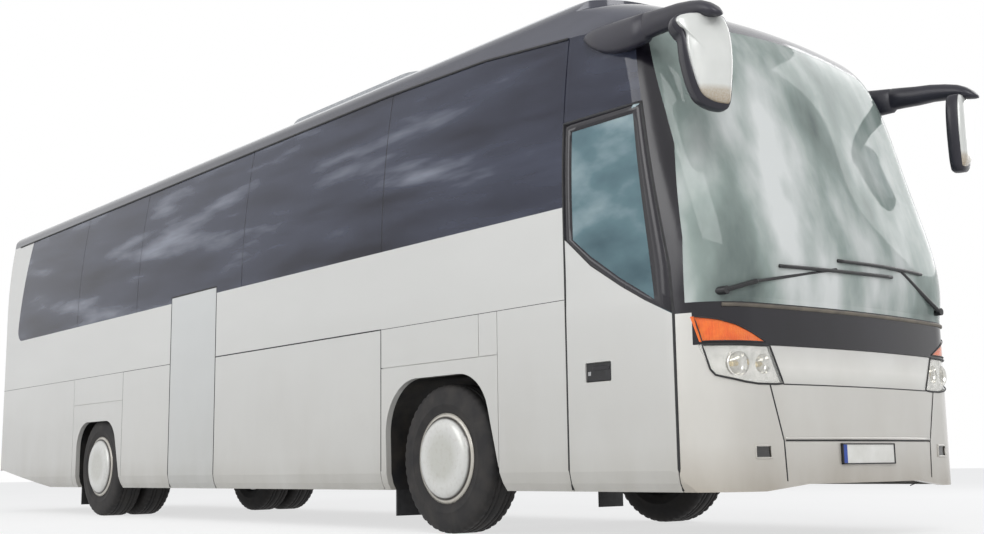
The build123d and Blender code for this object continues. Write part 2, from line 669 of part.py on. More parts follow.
def running_gear():
    """Underframe, axles, knuckles, air springs, wheels, engine and mud flaps."""
    rails = []
    for side in (-1, 1):
        x0, x1 = side * (RAIL_X - RAIL_WIDTH / 2), side * (RAIL_X + RAIL_WIDTH / 2)
        rails.append(block(x0, x1, 150, HOLD_FRONT + 10, RAIL_FOOT, RAIL_TOP))
        rails.append(block(x0, x1, HOLD_BACK, 10200, RAIL_FOOT, RAIL_TOP))
        rails.append(block(side * 540, side * 620, 10150, 11750, RAIL_FOOT, RAIL_TOP))
    beam = block(-700, 700, 0, 200, RAIL_FOOT - 100, RAIL_TOP) & INSIDE
    cross = block(-FAR, FAR, 1620, 1720, RAIL_FOOT, RAIL_TOP) & INSIDE
    front = rails[0] + rails[3] + beam + cross
    rear_cross = block(-620, 620, 10140, 10230, RAIL_FOOT, RAIL_TOP)
    tail_cross = block(-1000, 1000, 11660, 11760, RAIL_FOOT, RAIL_TOP)
    mid_cross = block(-FAR, FAR, 9700, 9800, RAIL_FOOT, RAIL_TOP) & INSIDE
    rear = rails[1] + rails[4] + rails[2] + rails[5] + rear_cross + tail_cross + mid_cross
    keep("underframe", front, rear)

    beam_foot, beam_top = 450, 570
    axle = block(-KINGPIN_X + 40, KINGPIN_X - 40, FRONT_AXLE - 50, FRONT_AXLE + 50, beam_foot, beam_top)
    for side in (-1, 1):
        axle += rod(side * KINGPIN_X, FRONT_AXLE, beam_foot - 20, 55, BOSS_LENGTH, "Z")
    for side in (-1, 1):
        axle -= rod(side * KINGPIN_X, FRONT_AXLE, 300, KINGPIN_R + RUNNING_FIT, 500, "Z")
    keep("front_axle", axle)
    boss_foot = beam_foot - 20
    lug = 40
    knuckle = rod(KINGPIN_X, FRONT_AXLE, boss_foot - lug - 1, KINGPIN_R, BOSS_LENGTH + 2 * lug + 2, "Z")
    for z in (boss_foot - lug - 1, boss_foot + BOSS_LENGTH + 1):
        knuckle += rod(KINGPIN_X, FRONT_AXLE, z, 55, lug, "Z")
        knuckle += block(KINGPIN_X, KINGPIN_X + 90, FRONT_AXLE - 50, FRONT_AXLE + 50, z, z + lug)
    knuckle += block(KINGPIN_X + 60, KINGPIN_X + 90, FRONT_AXLE - 50, FRONT_AXLE + 50, boss_foot - 20, boss_foot + BOSS_LENGTH + 20)
    knuckle += rod(KINGPIN_X + 80, FRONT_AXLE, AXLE_HEIGHT, STUB_R, 150, "X")
    keep("knuckle_left", knuckle)
    keep("knuckle_right", mirrored(knuckle))

    tyre = tyre_ring()
    front_wheel = wheel_disc(TRACK_HALF, STUB_R, 1000, HUB_R)
    rear_wheel = wheel_disc(TRACK_HALF, SPINDLE_R, 640, 150, twin=True)
    for name, station, wheel, tyres in (
        ("front", FRONT_AXLE, front_wheel, [TRACK_HALF]),
        ("rear", REAR_AXLE, rear_wheel, [TRACK_HALF, TRACK_HALF - TWIN_SPACING]),
    ):
        placed = Pos(0, station, AXLE_HEIGHT) * wheel
        rings = [Pos(x, station, AXLE_HEIGHT) * tyre for x in tyres]
        keep(f"wheel_{name}_left", placed)
        keep(f"tyre_{name}_left", *rings)
        keep(f"wheel_{name}_right", mirrored(placed))
        keep(f"tyre_{name}_right", *[mirrored(ring) for ring in rings])

    housing = rod(-600, REAR_AXLE, AXLE_HEIGHT, 75, 1200, "X")
    housing += rod(-110, REAR_AXLE, AXLE_HEIGHT, 190, 220, "X")
    for side in (-1, 1):
        housing += rod(min(side * 590, side * 1000), REAR_AXLE, AXLE_HEIGHT, SPINDLE_R, 410, "X")
        housing += block(side * 380, side * 460, REAR_AXLE - 560, REAR_AXLE + 560, 400, 480)
    keep("rear_axle", housing)
    bellows = [rod(s * RAIL_X, FRONT_AXLE, beam_top, 100, RAIL_FOOT - beam_top, "Z") for s in (-1, 1)]
    bellows += [
        rod(s * RAIL_X, REAR_AXLE + y, 480, 120, RAIL_FOOT - 480, "Z") for s in (-1, 1) for y in (-430, 430)
    ]
    keep("air_springs", *bellows)

    engine = block(-500, 500, 10350, 11550, 450, 1300)
    for side in (-1, 1):
        for y in (10500, 11300):
            engine += block(side * 400, side * 540, y, y + 100, RAIL_FOOT + 20, RAIL_TOP - 20)
    keep("engine_block", engine)
    flap = 16
    rows = [(900, FRONT_AXLE + 643), (900, REAR_AXLE + 580)]
    keep("mud_flaps", *[s for x, y in rows for s in pair(block(x, 1180, y, y + flap, 110, SILL_HEIGHT))])


def tyre_ring():
    """One tyre about the X axis, centred on the origin."""
    half = TYRE_WIDTH / 2
    rows = [(BEAD_HALF, RIM_R), (half, (RIM_R + TYRE_R) / 2), (TREAD_HALF, TYRE_R)]
    section = [(x, 0, r) for x, r in rows] + [(-x, 0, r) for x, r in reversed(rows)]
    return revolve(Face(Wire.make_polygon(section, close=True)), axis=Axis.X)


def wheel_disc(centre, bore, hub_start, hub_r, twin=False):
    """Rim, disc, hub and domed cover of one wheel about the X axis, outboard at positive X."""
    rim_r = RIM_R - 0.2
    out = centre + 112
    wheel = ring(centre - 105, out, rim_r - 12, rim_r)
    wheel += ring(centre + 20, centre + 34, hub_r - 5, rim_r - 2)
    wheel += ring(hub_start, centre + 84, bore + RUNNING_FIT, hub_r)
    if twin:
        inner = centre - TWIN_SPACING
        wheel += ring(inner - 105, inner + 105, rim_r - 12, rim_r)
        wheel += ring(inner + 90, inner + 105, hub_r - 5, rim_r - 2)
    cover = [
        (out - 6, 0),
        (out - 6, rim_r - 4),
        (out, rim_r - 4),
        (out, COVER_R),
        (out + 12, COVER_R),
        (out + 20, COVER_R - 12),
        (out + 20, 216),
        (out + 8, 212),
        (out + 8, 204),
        (out + 22, 200),
        (out + 38, 156),
        (out + 50, 96),
        (out + 56, COVER_FLAT),
        (out + 56, 0),
    ]
    return wheel + revolve(Face(Wire.make_polygon([(x, 0, z) for x, z in cover], close=True)), axis=Axis.X)


def ring(x0, x1, inner, outer):
    """A ring about the X axis."""
    return rod(x0, 0, 0, outer, x1 - x0, "X") - rod(x0 - 1, 0, 0, inner, x1 - x0 + 2, "X")


def door_arm(column_station, way, heights):
    """A turning column with two bent arms that carry an outward-swinging leaf."""
    foot = FIRST_TREAD + TIGHT
    column = rod(-COLUMN_X, column_station, foot, COLUMN_R, heights[-1] + 100 - foot, "Z")
    path = [(0, 0), (40, ARM_BULGE), (ARM_REACH - 170, ARM_BULGE), (ARM_REACH, 0)]
    points = [(-COLUMN_X + inward, column_station + way * along) for along, inward in path]
    plan = trace(FilletPolyline(*points, radius=45), ARM_WIDTH)
    arm = column
    for z in heights:
        arm += Pos(0, 0, z) * extrude(plan, amount=ARM_THICK)
        arm += rod(-COLUMN_X, column_station + way * ARM_REACH, z, 28, ARM_THICK, "Z")
    for z in heights:
        arm -= rod(-COLUMN_X, column_station + way * ARM_REACH, z - 5, PIN_R + RUNNING_FIT, ARM_THICK + 10, "Z")
    return arm


def door_brackets(column_station, way, heights):
    """Brackets and pins on the inside of a leaf, one under each arm."""
    y = column_station + way * ARM_REACH
    brackets = []
    for z in heights:
        plate = block(-COLUMN_X - 85, -COLUMN_X + 28, y - 28, y + 28, z - 2 - ARM_THICK, z - 2)
        brackets.append(plate + rod(-COLUMN_X, y, z - 3, PIN_R, ARM_THICK + 8, "Z"))
    return brackets


def doors():
    """Front and middle doors with their arms, and the luggage flaps."""
    gap = DOOR_GAP
    leaf_zone = span(DOOR_FRONT + gap, DOOR_BACK - gap, SILL_HEIGHT, DOOR_TOP - gap, -1)
    edge = Pos(0, gap, 0) * PILLAR_ZONE
    leaf = (SKIN & leaf_zone) - edge
    window = side_prism(DOOR_WINDOW, -FAR, -600)
    rebate = REBATE & ABOVE_SWEEP
    handle = side_prism([(895, 960, 12), (1120, 960, 12), (1120, 1080, 12), (895, 1080, 12)], -FAR, -HALF_WIDTH + 26)
    brackets = door_brackets(FRONT_COLUMN, 1, FRONT_ARMS)
    leaf = leaf - window - rebate - handle
    for bracket in brackets:
        leaf += bracket
    keep("front_door", leaf)
    keep("front_door_glass", (GLASS_SKIN & leaf_zone & ABOVE_SWEEP) - edge)
    keep("front_door_arm", door_arm(FRONT_COLUMN, 1, FRONT_ARMS))

    middle = SKIN & span(MIDDLE_FRONT + gap, MIDDLE_BACK - gap, SILL_HEIGHT, MIDDLE_TOP - gap, -1)
    for bracket in door_brackets(MIDDLE_COLUMN, -1, MIDDLE_ARMS):
        middle += bracket
    keep("middle_door", middle)
    keep("middle_door_arm", door_arm(MIDDLE_COLUMN, -1, MIDDLE_ARMS))

    for name, side, y0, y1 in FLAPS:
        keep(name, SKIN & span(y0 + SEAM, y1 - SEAM, SILL_HEIGHT, WAIST_HEIGHT - SEAM, side))


def cabin():
    """Seats, driver's place, dashboard and luggage racks."""
    rows = [
        (150, 0, 0),
        (300, 0, 0),
        (320, 380, 0),
        (480, 380, 60),
        (570, 520, 0),
        (730, 1120, 30),
        (650, 1150, 30),
        (470, 500, 40),
        (0, 500, 40),
        (0, 390, 40),
        (130, 380, 0),
    ]
    seats = []
    for row in range(SEAT_ROWS):
        start = SEAT_START + row * SEAT_PITCH
        profile = [(start + y, DECK_HEIGHT + z, r) for y, z, r in rows]
        for side in (-1, 1):
            stair_well = side < 0 and MIDDLE_FRONT - 740 < start < MIDDLE_BACK
            if stair_well:
                continue
            bench = side_prism(profile, 300, 1150)
            bench -= block(720, 740, 0, 13000, DECK_HEIGHT + 520, 4000)
            seats.append(bench if side > 0 else mirrored(bench))
    back_row = [(SEAT_START + SEAT_ROWS * SEAT_PITCH + 60 + y, DECK_HEIGHT + z, r) for y, z, r in rows]
    seats.append(side_prism(back_row, -1130, 1130))
    scale = 0.8
    driver = [(960 + y * scale, CAB_FLOOR + z, r * scale) for y, z, r in rows]
    seats.append(side_prism(driver, 380, 880))
    keep("seats", *seats)
    dash = [
        (0, 1190, 0),
        (400, 1190, 0),
        (400, CAB_FLOOR, 0),
        (560, CAB_FLOOR, 0),
        (640, 1400, 60),
        (560, 1540, 80),
        (300, 1450, 60),
        (0, 1360, 0),
    ]
    wheel = Torus(225, 17) + Cylinder(45, 30)
    for turn in (90, 210, 330):
        wheel += Rot(0, 0, turn) * block(0, 225, -14, 14, -8, 8)
    wheel += Pos(0, 0, -190) * Cylinder(28, 360)
    column = Pos(620, 720, 1600) * Rot(-25, 0, 0) * wheel - side_prism(dash, -380, FAR)
    keep("dashboard", side_prism(dash, -380, FAR) & INSIDE, column)
    rack = [block(s * 640, s * FAR, 1600, 11400, 3020, 3070) & INSIDE for s in (-1, 1)]
    keep("luggage_racks", *rack)


def roof_gear():
    """Roof shell with its hatch opening, hatch lid and air-conditioning unit."""
    hatch_hole = block(-HATCH_HALF + 40, HATCH_HALF - 40, HATCH_FRONT + 40, HATCH_BACK - 40, 3400, 3700)
    keep("roof_shell", (SKIN & ROOF_ZONE) - hatch_hole)
    lid = block(-HATCH_HALF, HATCH_HALF, HATCH_FRONT, HATCH_BACK, ROOF_HEIGHT + TIGHT, ROOF_HEIGHT + 65)
    lid = fillet(lid.edges().group_by(Axis.Z)[-1], 40)
    keep("roof_hatch", lid)
    unit = block(-AC_HALF, AC_HALF, AC_FRONT, AC_BACK, 3400, AC_TOP)
    unit = fillet(unit.edges().filter_by(Axis.Z), 300)
    unit = fillet(unit.edges().group_by(Axis.Z)[-1], 100)
    keep("roof_ac_unit", unit - OUTER)


def outside_fittings():
    """Mirrors on their arms and the wipers."""
    path = Polyline(*MIRROR_ARM)
    tube = sweep(Plane(path @ 0, z_dir=path % 0) * RectangleRounded(90, 80, 30), path=path, transition=Transition.ROUND)
    shell = front_prism(MIRROR_SHELL, -MIRROR_REACH, -20)
    mirror_body = (tube + shell) - OUTER
    keep("mirrors", *pair(mirror_body))
    wipers = []
    for pivot, elbow, joint, ends in WIPERS:
        points = [screen_point(*p, 42) for p in (pivot, elbow, joint)]
        arm = bar(points[0], points[1], 14) + bar(points[1], points[2], 9)
        marks = [screen_point(*end, 16) for end in ends]
        blade = bar(marks[0], marks[1], 8) + bar(marks[1], marks[2], 8)
        link = bar(screen_point(*joint, 44), screen_point(*joint, 14), 9)
        x, y, z = points[0]
        boss = rod(x, y - 15, z, 24, 120, "Y") - OUTER
        wipers.append((arm + blade + link + boss) - OUTER)
    keep("wipers", *wipers)


def screen_point(x, z, off):
    """A point in front of the windscreen at a distance off it."""
    rows = [(row[0], row[1]) for row in NOSE_SECTIONS]
    for (z0, y0), (z1, y1) in zip(rows, rows[1:]):
        if z <= z1:
            break
    rake = y0 + (y1 - y0) * (z - z0) / (z1 - z0)
    return (x, rake + nose_station(x) - off, z)


def bar(start, end, radius):
    """A round bar between two points, with round ends."""
    run = Vector(*end) - Vector(*start)
    solid = Plane(origin=start, z_dir=run) * Cylinder(radius, run.length, align=LOW)
    return solid + Pos(*start) * Sphere(radius) + Pos(*end) * Sphere(radius)


def main():
    front_end()
    side_bodywork()
    rear_end()
    floors()
    running_gear()
    doors()
    cabin()
    roof_gear()
    outside_fittings()
    box = gathered(PIECES.values()).bounding_box()
    middle = (box.min.Y + box.max.Y) / 2
    os.makedirs("parts", exist_ok=True)
    for name, shape in PIECES.items():
        export_step(Pos(0, -middle, 0) * shape, f"parts/{name}.step")


if __name__ == "__main__":
    main()
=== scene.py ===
import bpy, bmesh
from math import cos, sin, pi, radians
from mathutils import Vector, Matrix


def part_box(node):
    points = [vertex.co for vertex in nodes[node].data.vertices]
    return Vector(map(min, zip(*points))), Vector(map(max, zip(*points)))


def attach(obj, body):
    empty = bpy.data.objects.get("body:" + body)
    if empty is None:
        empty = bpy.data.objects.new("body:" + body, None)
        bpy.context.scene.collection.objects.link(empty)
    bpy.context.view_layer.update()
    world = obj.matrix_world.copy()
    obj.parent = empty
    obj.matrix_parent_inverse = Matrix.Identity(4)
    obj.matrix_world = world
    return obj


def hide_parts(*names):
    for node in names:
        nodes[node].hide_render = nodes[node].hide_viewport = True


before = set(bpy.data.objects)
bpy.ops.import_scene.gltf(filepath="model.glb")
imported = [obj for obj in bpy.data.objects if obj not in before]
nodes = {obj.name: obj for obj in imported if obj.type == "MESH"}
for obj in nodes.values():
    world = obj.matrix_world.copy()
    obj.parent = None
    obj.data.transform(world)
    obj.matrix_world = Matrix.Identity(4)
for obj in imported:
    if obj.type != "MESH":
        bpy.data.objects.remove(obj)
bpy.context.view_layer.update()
scene = bpy.context.scene
scene.view_settings.view_transform = "Standard"


# The camera stands low on the door side, where the photograph was taken from.
# Its place, turn and focal length come from the wheels, seams and windows seen there.
STAND = (-6.6281, -10.4759, 0.4578)
YAW, PITCH, ROLL = 0.6874, 0.1578, -0.0143


def look(yaw, pitch, roll):
    """The turn of a camera that looks along these angles, in radians from +Y."""
    ahead = Vector((sin(yaw) * cos(pitch), cos(yaw) * cos(pitch), sin(pitch)))
    right = Vector((cos(yaw), -sin(yaw), 0))
    up = right.cross(ahead)
    across = right * cos(roll) + up * sin(roll)
    over = up * cos(roll) - right * sin(roll)
    return Matrix((across, over, -ahead)).transposed().to_4x4()


camera = bpy.data.objects.new("camera", bpy.data.cameras.new("camera"))
camera.data.sensor_width = 36
camera.data.lens = 45.96
camera.matrix_world = Matrix.Translation(STAND) @ look(YAW, PITCH, ROLL)
scene.collection.objects.link(camera)
scene.camera = camera


# An even sky of soft light, as in an open yard under thin cloud, with large soft lamps
# over the nose, along the door side and, weaker, from the far side.
def tone(red, green, blue, alpha=1.0):
    """A colour as it shows on a screen, 0 to 255, made linear."""
    parts = [v / 255 for v in (red, green, blue)]
    return tuple(v / 12.92 if v <= 0.04045 else ((v + 0.055) / 1.055) ** 2.4 for v in parts) + (alpha,)


def shown(tree):
    """1 for rays from the camera and for those that metal and glass send on, 0 for the rest."""
    paths = tree.nodes.new("ShaderNodeLightPath")
    value = paths.outputs["Is Camera Ray"]
    for label in ("Is Glossy Ray", "Is Transmission Ray"):
        larger = tree.nodes.new("ShaderNodeMath")
        larger.operation = "MAXIMUM"
        tree.links.new(value, larger.inputs[0])
        tree.links.new(paths.outputs[label], larger.inputs[1])
        value = larger.outputs[0]
    return value


world = bpy.data.worlds.new("sky")
scene.world = world
world.use_nodes = True
sky = world.node_tree
sky.nodes.clear()
seen = sky.nodes.new("ShaderNodeBackground")
seen.inputs["Color"].default_value = (1, 1, 1, 1)
lit = sky.nodes.new("ShaderNodeBackground")
rise = sky.nodes.new("ShaderNodeTexCoord")
split = sky.nodes.new("ShaderNodeSeparateXYZ")
fade = sky.nodes.new("ShaderNodeValToRGB")
for stop, at, colour in zip(fade.color_ramp.elements, (0.42, 0.80), (tone(150, 148, 144), tone(238, 241, 247))):
    stop.position, stop.color = at, colour
half_up = sky.nodes.new("ShaderNodeMath")
half_up.operation = "MULTIPLY_ADD"
half_up.inputs[1].default_value = half_up.inputs[2].default_value = 0.5
pick = sky.nodes.new("ShaderNodeMixShader")
out = sky.nodes.new("ShaderNodeOutputWorld")
sky.links.new(rise.outputs["Generated"], split.inputs[0])
sky.links.new(split.outputs["Z"], half_up.inputs[0])
sky.links.new(half_up.outputs[0], fade.inputs[0])
sky.links.new(fade.outputs[0], lit.inputs["Color"])
lit.inputs["Strength"].default_value = 0.62
sky.links.new(shown(sky), pick.inputs[0])
sky.links.new(lit.outputs[0], pick.inputs[1])
sky.links.new(seen.outputs[0], pick.inputs[2])
sky.links.new(pick.outputs[0], out.inputs[0])

for name, place, aim, size, power in (
    ("lamp over the nose", (-9, -15, 11), (0, -4, 1.5), 9, 1150),
    ("lamp along the side", (-16, 2, 9), (-1.2, 0, 1.6), 10, 950),
    ("lamp from the far side", (12, -6, 8), (0, -4, 1.8), 8, 420),
):
    lamp = bpy.data.objects.new(name, bpy.data.lights.new(name, "AREA"))
    lamp.data.size, lamp.data.energy = size, power
    lamp.location = place
    lamp.rotation_euler = (Vector(aim) - Vector(place)).to_track_quat("-Z", "Y").to_euler()
    scene.collection.objects.link(lamp)


# Body panels: pressed steel and aluminium, sprayed in a warm pearl white under clear coat.
# Road film greys them below the waist and browns the sills.
def finish(name, rough, metal=0.0, coat=0.0):
    """A new material with its shader, links, and object coordinates."""
    mat = bpy.data.materials.new(name)
    mat.use_nodes = True
    tree = mat.node_tree
    shader = tree.nodes["Principled BSDF"]
    shader.inputs["Roughness"].default_value = rough
    shader.inputs["Metallic"].default_value = metal
    shader.inputs["Coat Weight"].default_value = coat
    shader.inputs["Coat Roughness"].default_value = 0.06
    coords = tree.nodes.new("ShaderNodeTexCoord")
    return mat, tree, shader, coords.outputs["Object"]


def cloud(tree, coords, size, stretch=(1, 1, 1), detail=3.0, turn=(0, 0, 0)):
    """A noise value over the object, with spots of about this size in metres."""
    place = tree.nodes.new("ShaderNodeMapping")
    place.inputs["Scale"].default_value = [1 / (size * s) for s in stretch]
    place.inputs["Rotation"].default_value = turn
    spots = tree.nodes.new("ShaderNodeTexNoise")
    spots.inputs["Scale"].default_value = 1
    spots.inputs["Detail"].default_value = detail
    tree.links.new(coords, place.inputs["Vector"])
    tree.links.new(place.outputs[0], spots.inputs["Vector"])
    return spots.outputs["Fac"]


def ramp(tree, value, *stops):
    """A value turned into a colour by stops of position and colour."""
    bar = tree.nodes.new("ShaderNodeValToRGB").color_ramp
    node = tree.nodes[-1]
    while len(bar.elements) < len(stops):
        bar.elements.new(0.5)
    for element, (at, colour) in zip(bar.elements, stops):
        element.position, element.color = at, colour if len(colour) == 4 else (*colour, 1)
    tree.links.new(value, node.inputs[0])
    return node.outputs[0]


def mix(tree, factor, first, second, way="MIX"):
    """Two colours mixed by a factor, each a number, a colour or a socket."""
    node = tree.nodes.new("ShaderNodeMix")
    node.data_type, node.blend_type = "RGBA", way
    for socket, value in ((node.inputs[0], factor), (node.inputs[6], first), (node.inputs[7], second)):
        if isinstance(value, bpy.types.NodeSocket):
            tree.links.new(value, socket)
        else:
            socket.default_value = value
    return node.outputs[2]


def emboss(tree, shader, height, strength, depth):
    """A fine relief from a height value."""
    node = tree.nodes.new("ShaderNodeBump")
    node.inputs["Strength"].default_value = strength
    node.inputs["Distance"].default_value = depth
    tree.links.new(height, node.inputs["Height"])
    tree.links.new(node.outputs[0], shader.inputs["Normal"])


def height_in(tree, coords, low, high):
    """0 at one height, 1 at another."""
    part = tree.nodes.new("ShaderNodeSeparateXYZ")
    tree.links.new(coords, part.inputs[0])
    scale = tree.nodes.new("ShaderNodeMapRange")
    scale.inputs["From Min"].default_value, scale.inputs["From Max"].default_value = low, high
    tree.links.new(part.outputs["Z"], scale.inputs[0])
    return scale.outputs[0]


def grey(level):
    return (level, level, level)


def dress(paint, *names):
    """One paint or finish on each of these pieces."""
    for name in names:
        nodes[name].material_slots[0].material = paint


def sprayed(name, clean, film, rough=0.28, metal=0.15):
    """Clear-coated paint under a film that lies thick on the sills and in clouds above them."""
    mat, tree, shader, coords = finish(name, rough, metal, 0.6)
    faded = [c * 0.93 for c in clean[:3]]
    wide = ramp(tree, cloud(tree, coords, 1.6, (1, 1.8, 0.5)), (0.3, clean), (0.72, faded))
    rise = height_in(tree, coords, 0.25, 1.7)
    low = ramp(tree, rise, (0.0, grey(0.75)), (0.22, grey(0.34)), (0.75, grey(0.1)), (1.0, grey(0.0)))
    patches = ramp(tree, cloud(tree, coords, 0.35, (1, 1, 2.2), 6), (0.25, grey(0.55)), (0.75, grey(1)))
    dust = mix(tree, 1.0, low, patches, "MULTIPLY")
    tree.links.new(mix(tree, dust, wide, film), shader.inputs["Base Color"])
    dull = ramp(tree, dust, (0.0, grey(rough)), (0.8, grey(0.6)))
    tree.links.new(dull, shader.inputs["Roughness"])
    emboss(tree, shader, cloud(tree, coords, 0.9, (1, 1, 1), 1), 0.05, 0.01)
    return mat


pearl = sprayed("pearl_white_paint", tone(205, 205, 202), tone(152, 146, 134))
dress(pearl, "side_panels_right", "side_panels_left", "waist_panels", "rear_wall", "engine_lid", "front_door",
      "luggage_flap_right", "luggage_flap_left_front", "luggage_flap_left_rear")
# The middle door takes a darker, bluish copy of the body white: painted shade.
dress(sprayed("door_white_painted_shade", tone(197, 199, 198), tone(150, 146, 136)), "middle_door")
nose_paint = sprayed("nose_white_paint", tone(220, 219, 214), tone(134, 118, 94), 0.24)
dress(nose_paint, "bumper", "front_corners")
dress(sprayed("roof_white_paint", tone(214, 216, 219), tone(150, 148, 142), 0.35), "roof_hatch")


# Roof: a pressed shell, white on top. Over the windows and the brow it is masked and sprayed dark gloss,
# down to the edge that meets the panes, with a painted reflection of the sky in long pale blue-grey streaks.
def masked_roof():
    mat, tree, shader, coords = finish("roof_two_tone_paint", 0.3, 0.1, 0.5)
    clean, faded = tone(214, 216, 219), tone(205, 207, 210)
    white = ramp(tree, cloud(tree, coords, 1.6, (1, 1.8, 0.5)), (0.3, clean), (0.72, faded))
    dark, pale = tone(47, 48, 58), tone(78, 80, 92)
    # Dark gloss paint, with a painted sky reflection in long pale streaks over it.
    dark_gloss_and_painted_sky = ramp(tree, cloud(tree, coords, 0.8, (1, 3, 0.5), 5), (0.3, dark), (0.75, pale))
    above = height_in(tree, coords, 3.465, 3.49)
    tree.links.new(mix(tree, above, dark_gloss_and_painted_sky, white), shader.inputs["Base Color"])
    tree.links.new(ramp(tree, above, (0.0, grey(0.14)), (1.0, grey(0.34))), shader.inputs["Roughness"])
    return mat


roof_coat = masked_roof()
dress(roof_coat, "roof_shell")


# Silver band: the smooth moulding between the headlamps, clipped to the nose.
# It is lacquered silver with a painted highlight across its middle height, under a thin film of road dust.
def silver():
    mat, tree, shader, coords = finish("silver_moulding", 0.26, 0.35, 0.4)
    # Painted highlight: the band is painted lighter midway up than at its foot and head.
    painted_highlight_height = height_in(tree, coords, 0.9, 1.13)
    foot, painted_highlight_tone, head = tone(206, 205, 200), tone(228, 227, 222), tone(210, 209, 206)
    lit = ramp(tree, painted_highlight_height, (0.0, foot), (0.45, painted_highlight_tone), (1.0, head))
    film = ramp(tree, cloud(tree, coords, 0.4, (1, 1, 1), 4), (0.35, grey(0)), (0.8, grey(0.3)))
    tree.links.new(mix(tree, film, lit, tone(176, 170, 158)), shader.inputs["Base Color"])
    return mat


dress(silver(), "silver_band")


# Black glass borders, pillars and the band under the windscreen: gloss black with a plum cast,
# a film of dust and faint vertical wipe marks.
def gloss_black(name, base, dusty, rough=0.12):
    mat, tree, shader, coords = finish(name, rough)
    film = cloud(tree, coords, 0.5, (1, 1, 2.5), 5)
    tree.links.new(ramp(tree, film, (0.35, base), (0.8, dusty)), shader.inputs["Base Color"])
    tree.links.new(ramp(tree, film, (0.3, grey(rough)), (0.8, grey(rough + 0.18))), shader.inputs["Roughness"])
    return mat


black_gloss = gloss_black("black_gloss", tone(15, 13, 20), tone(32, 30, 38))
dress(black_gloss, "screen_frame", "front_band", "window_frames")


# Panes: bonded tinted glass, dark blue-grey, with a painted reflection of a cloudy sky in long soft streaks.
# The windscreen is pale green laminated glass with a brighter, steeper painted reflection of clouds and hills.
def pane(name, tones, steps, alpha, size, stretch, turn):
    """Tinted glass with a painted reflection of clouds of about this size, in three tones, from deep to bright."""
    mat, tree, shader, coords = finish(name, 0.04)
    big = cloud(tree, coords, size, stretch, 3, turn)
    fine = cloud(tree, coords, size * 0.35, stretch, 4, turn)
    painted_reflection = mix(tree, 0.3, big, fine)
    # The ramp paints the sky's reflection into the glass's colour, over its own tint.
    tree.links.new(ramp(tree, painted_reflection, *zip(steps, tones)), shader.inputs["Base Color"])
    shader.inputs["Alpha"].default_value = alpha
    shader.inputs["IOR"].default_value = 1.38
    return mat


dress(pane("tinted_pane", (tone(28, 29, 42), tone(64, 68, 84), tone(158, 163, 176)), (0.34, 0.52, 0.7),
           alpha=0.9, size=1.3, stretch=(1, 2.4, 0.36), turn=(0.16, 0, 0)), "side_glass", "rear_window")
dress(pane("door_pane", (tone(58, 82, 92), tone(104, 132, 140), tone(186, 204, 208)), (0.36, 0.52, 0.66),
           alpha=0.8, size=0.9, stretch=(1, 1.6, 0.8), turn=(0.4, 0, 0)), "front_door_glass")
dress(pane("windscreen_pane", (tone(84, 96, 94), tone(164, 178, 172), tone(242, 245, 243)), (0.34, 0.5, 0.64),
           alpha=0.7, size=0.9, stretch=(0.8, 1, 1.9), turn=(0, 0.5, 0)), "windscreen")


# Rubber: tyres, mud flaps and air bellows, moulded, matt black with grey dust in the grain.
# The same black rubber is used for seals, gaskets and joints.
def rubber(name, base, dust, grain=0.02, rough=0.78):
    mat, tree, shader, coords = finish(name, rough)
    spots = cloud(tree, coords, grain * 6, (1, 1, 1), 5)
    tree.links.new(ramp(tree, spots, (0.35, base), (0.75, dust)), shader.inputs["Base Color"])
    emboss(tree, shader, cloud(tree, coords, grain, (1, 1, 1), 2), 0.25, 0.002)
    return mat


tyre_rubber = rubber("tyre_rubber", tone(27, 26, 27), tone(48, 45, 43))
black_rubber = rubber("black_rubber", tone(18, 18, 20), tone(38, 38, 40), 0.008, 0.6)
dress(black_rubber, "mud_flaps", "air_springs")


# Underframe, axles and the door arms: welded, cast and forged steel, bolted together
# and covered with black chassis paint over the rough metal, dusty on top.
def chassis(name, base, dust, metal=0.3):
    mat, tree, shader, coords = finish(name, 0.6, metal)
    scale = cloud(tree, coords, 0.12, (1, 1, 1), 6)
    tree.links.new(ramp(tree, scale, (0.35, base), (0.72, dust)), shader.inputs["Base Color"])
    emboss(tree, shader, cloud(tree, coords, 0.012, (1, 1, 1), 3), 0.35, 0.002)
    return mat


black_chassis = chassis("chassis_paint", tone(22, 22, 24), tone(52, 48, 43))
dress(black_chassis, "underframe", "front_axle", "rear_axle", "knuckle_left", "knuckle_right", "wheelhouses",
      "bulkheads", "engine_block", "front_door_arm", "middle_door_arm")


# Floors and steps: flecked dark vinyl glued on plywood. Dashboard and racks: grained grey moulding.
# The roof unit has a cover of the same kind in a paler grey.
def vinyl(name, base, fleck, grain):
    mat, tree, shader, coords = finish(name, 0.55)
    flecks = cloud(tree, coords, grain * 3, (1, 1, 1), 2)
    tree.links.new(ramp(tree, flecks, (0.45, base), (0.7, fleck)), shader.inputs["Base Color"])
    emboss(tree, shader, cloud(tree, coords, grain, (1, 1, 1), 2), 0.3, 0.001)
    return mat


floor_vinyl = vinyl("floor_vinyl", tone(62, 64, 68), tone(86, 88, 92), 0.006)
dress(floor_vinyl, "deck_floor", "cab_floor", "steps", "hold_floor")
dress(vinyl("grained_trim", tone(74, 75, 78), tone(92, 93, 96), 0.004), "dashboard", "luggage_racks")
dress(vinyl("unit_moulding", tone(150, 153, 156), tone(170, 172, 174), 0.01), "roof_ac_unit")


# Tyres: radial coach tyres with four grooves round the tread, notched shoulders and a bead rim.
# Each is turned from its section; the notches are moulded into both shoulders.
def station(mm):
    """A station in millimetres from the nose, as Y in metres."""
    return (mm - 5968) / 1000


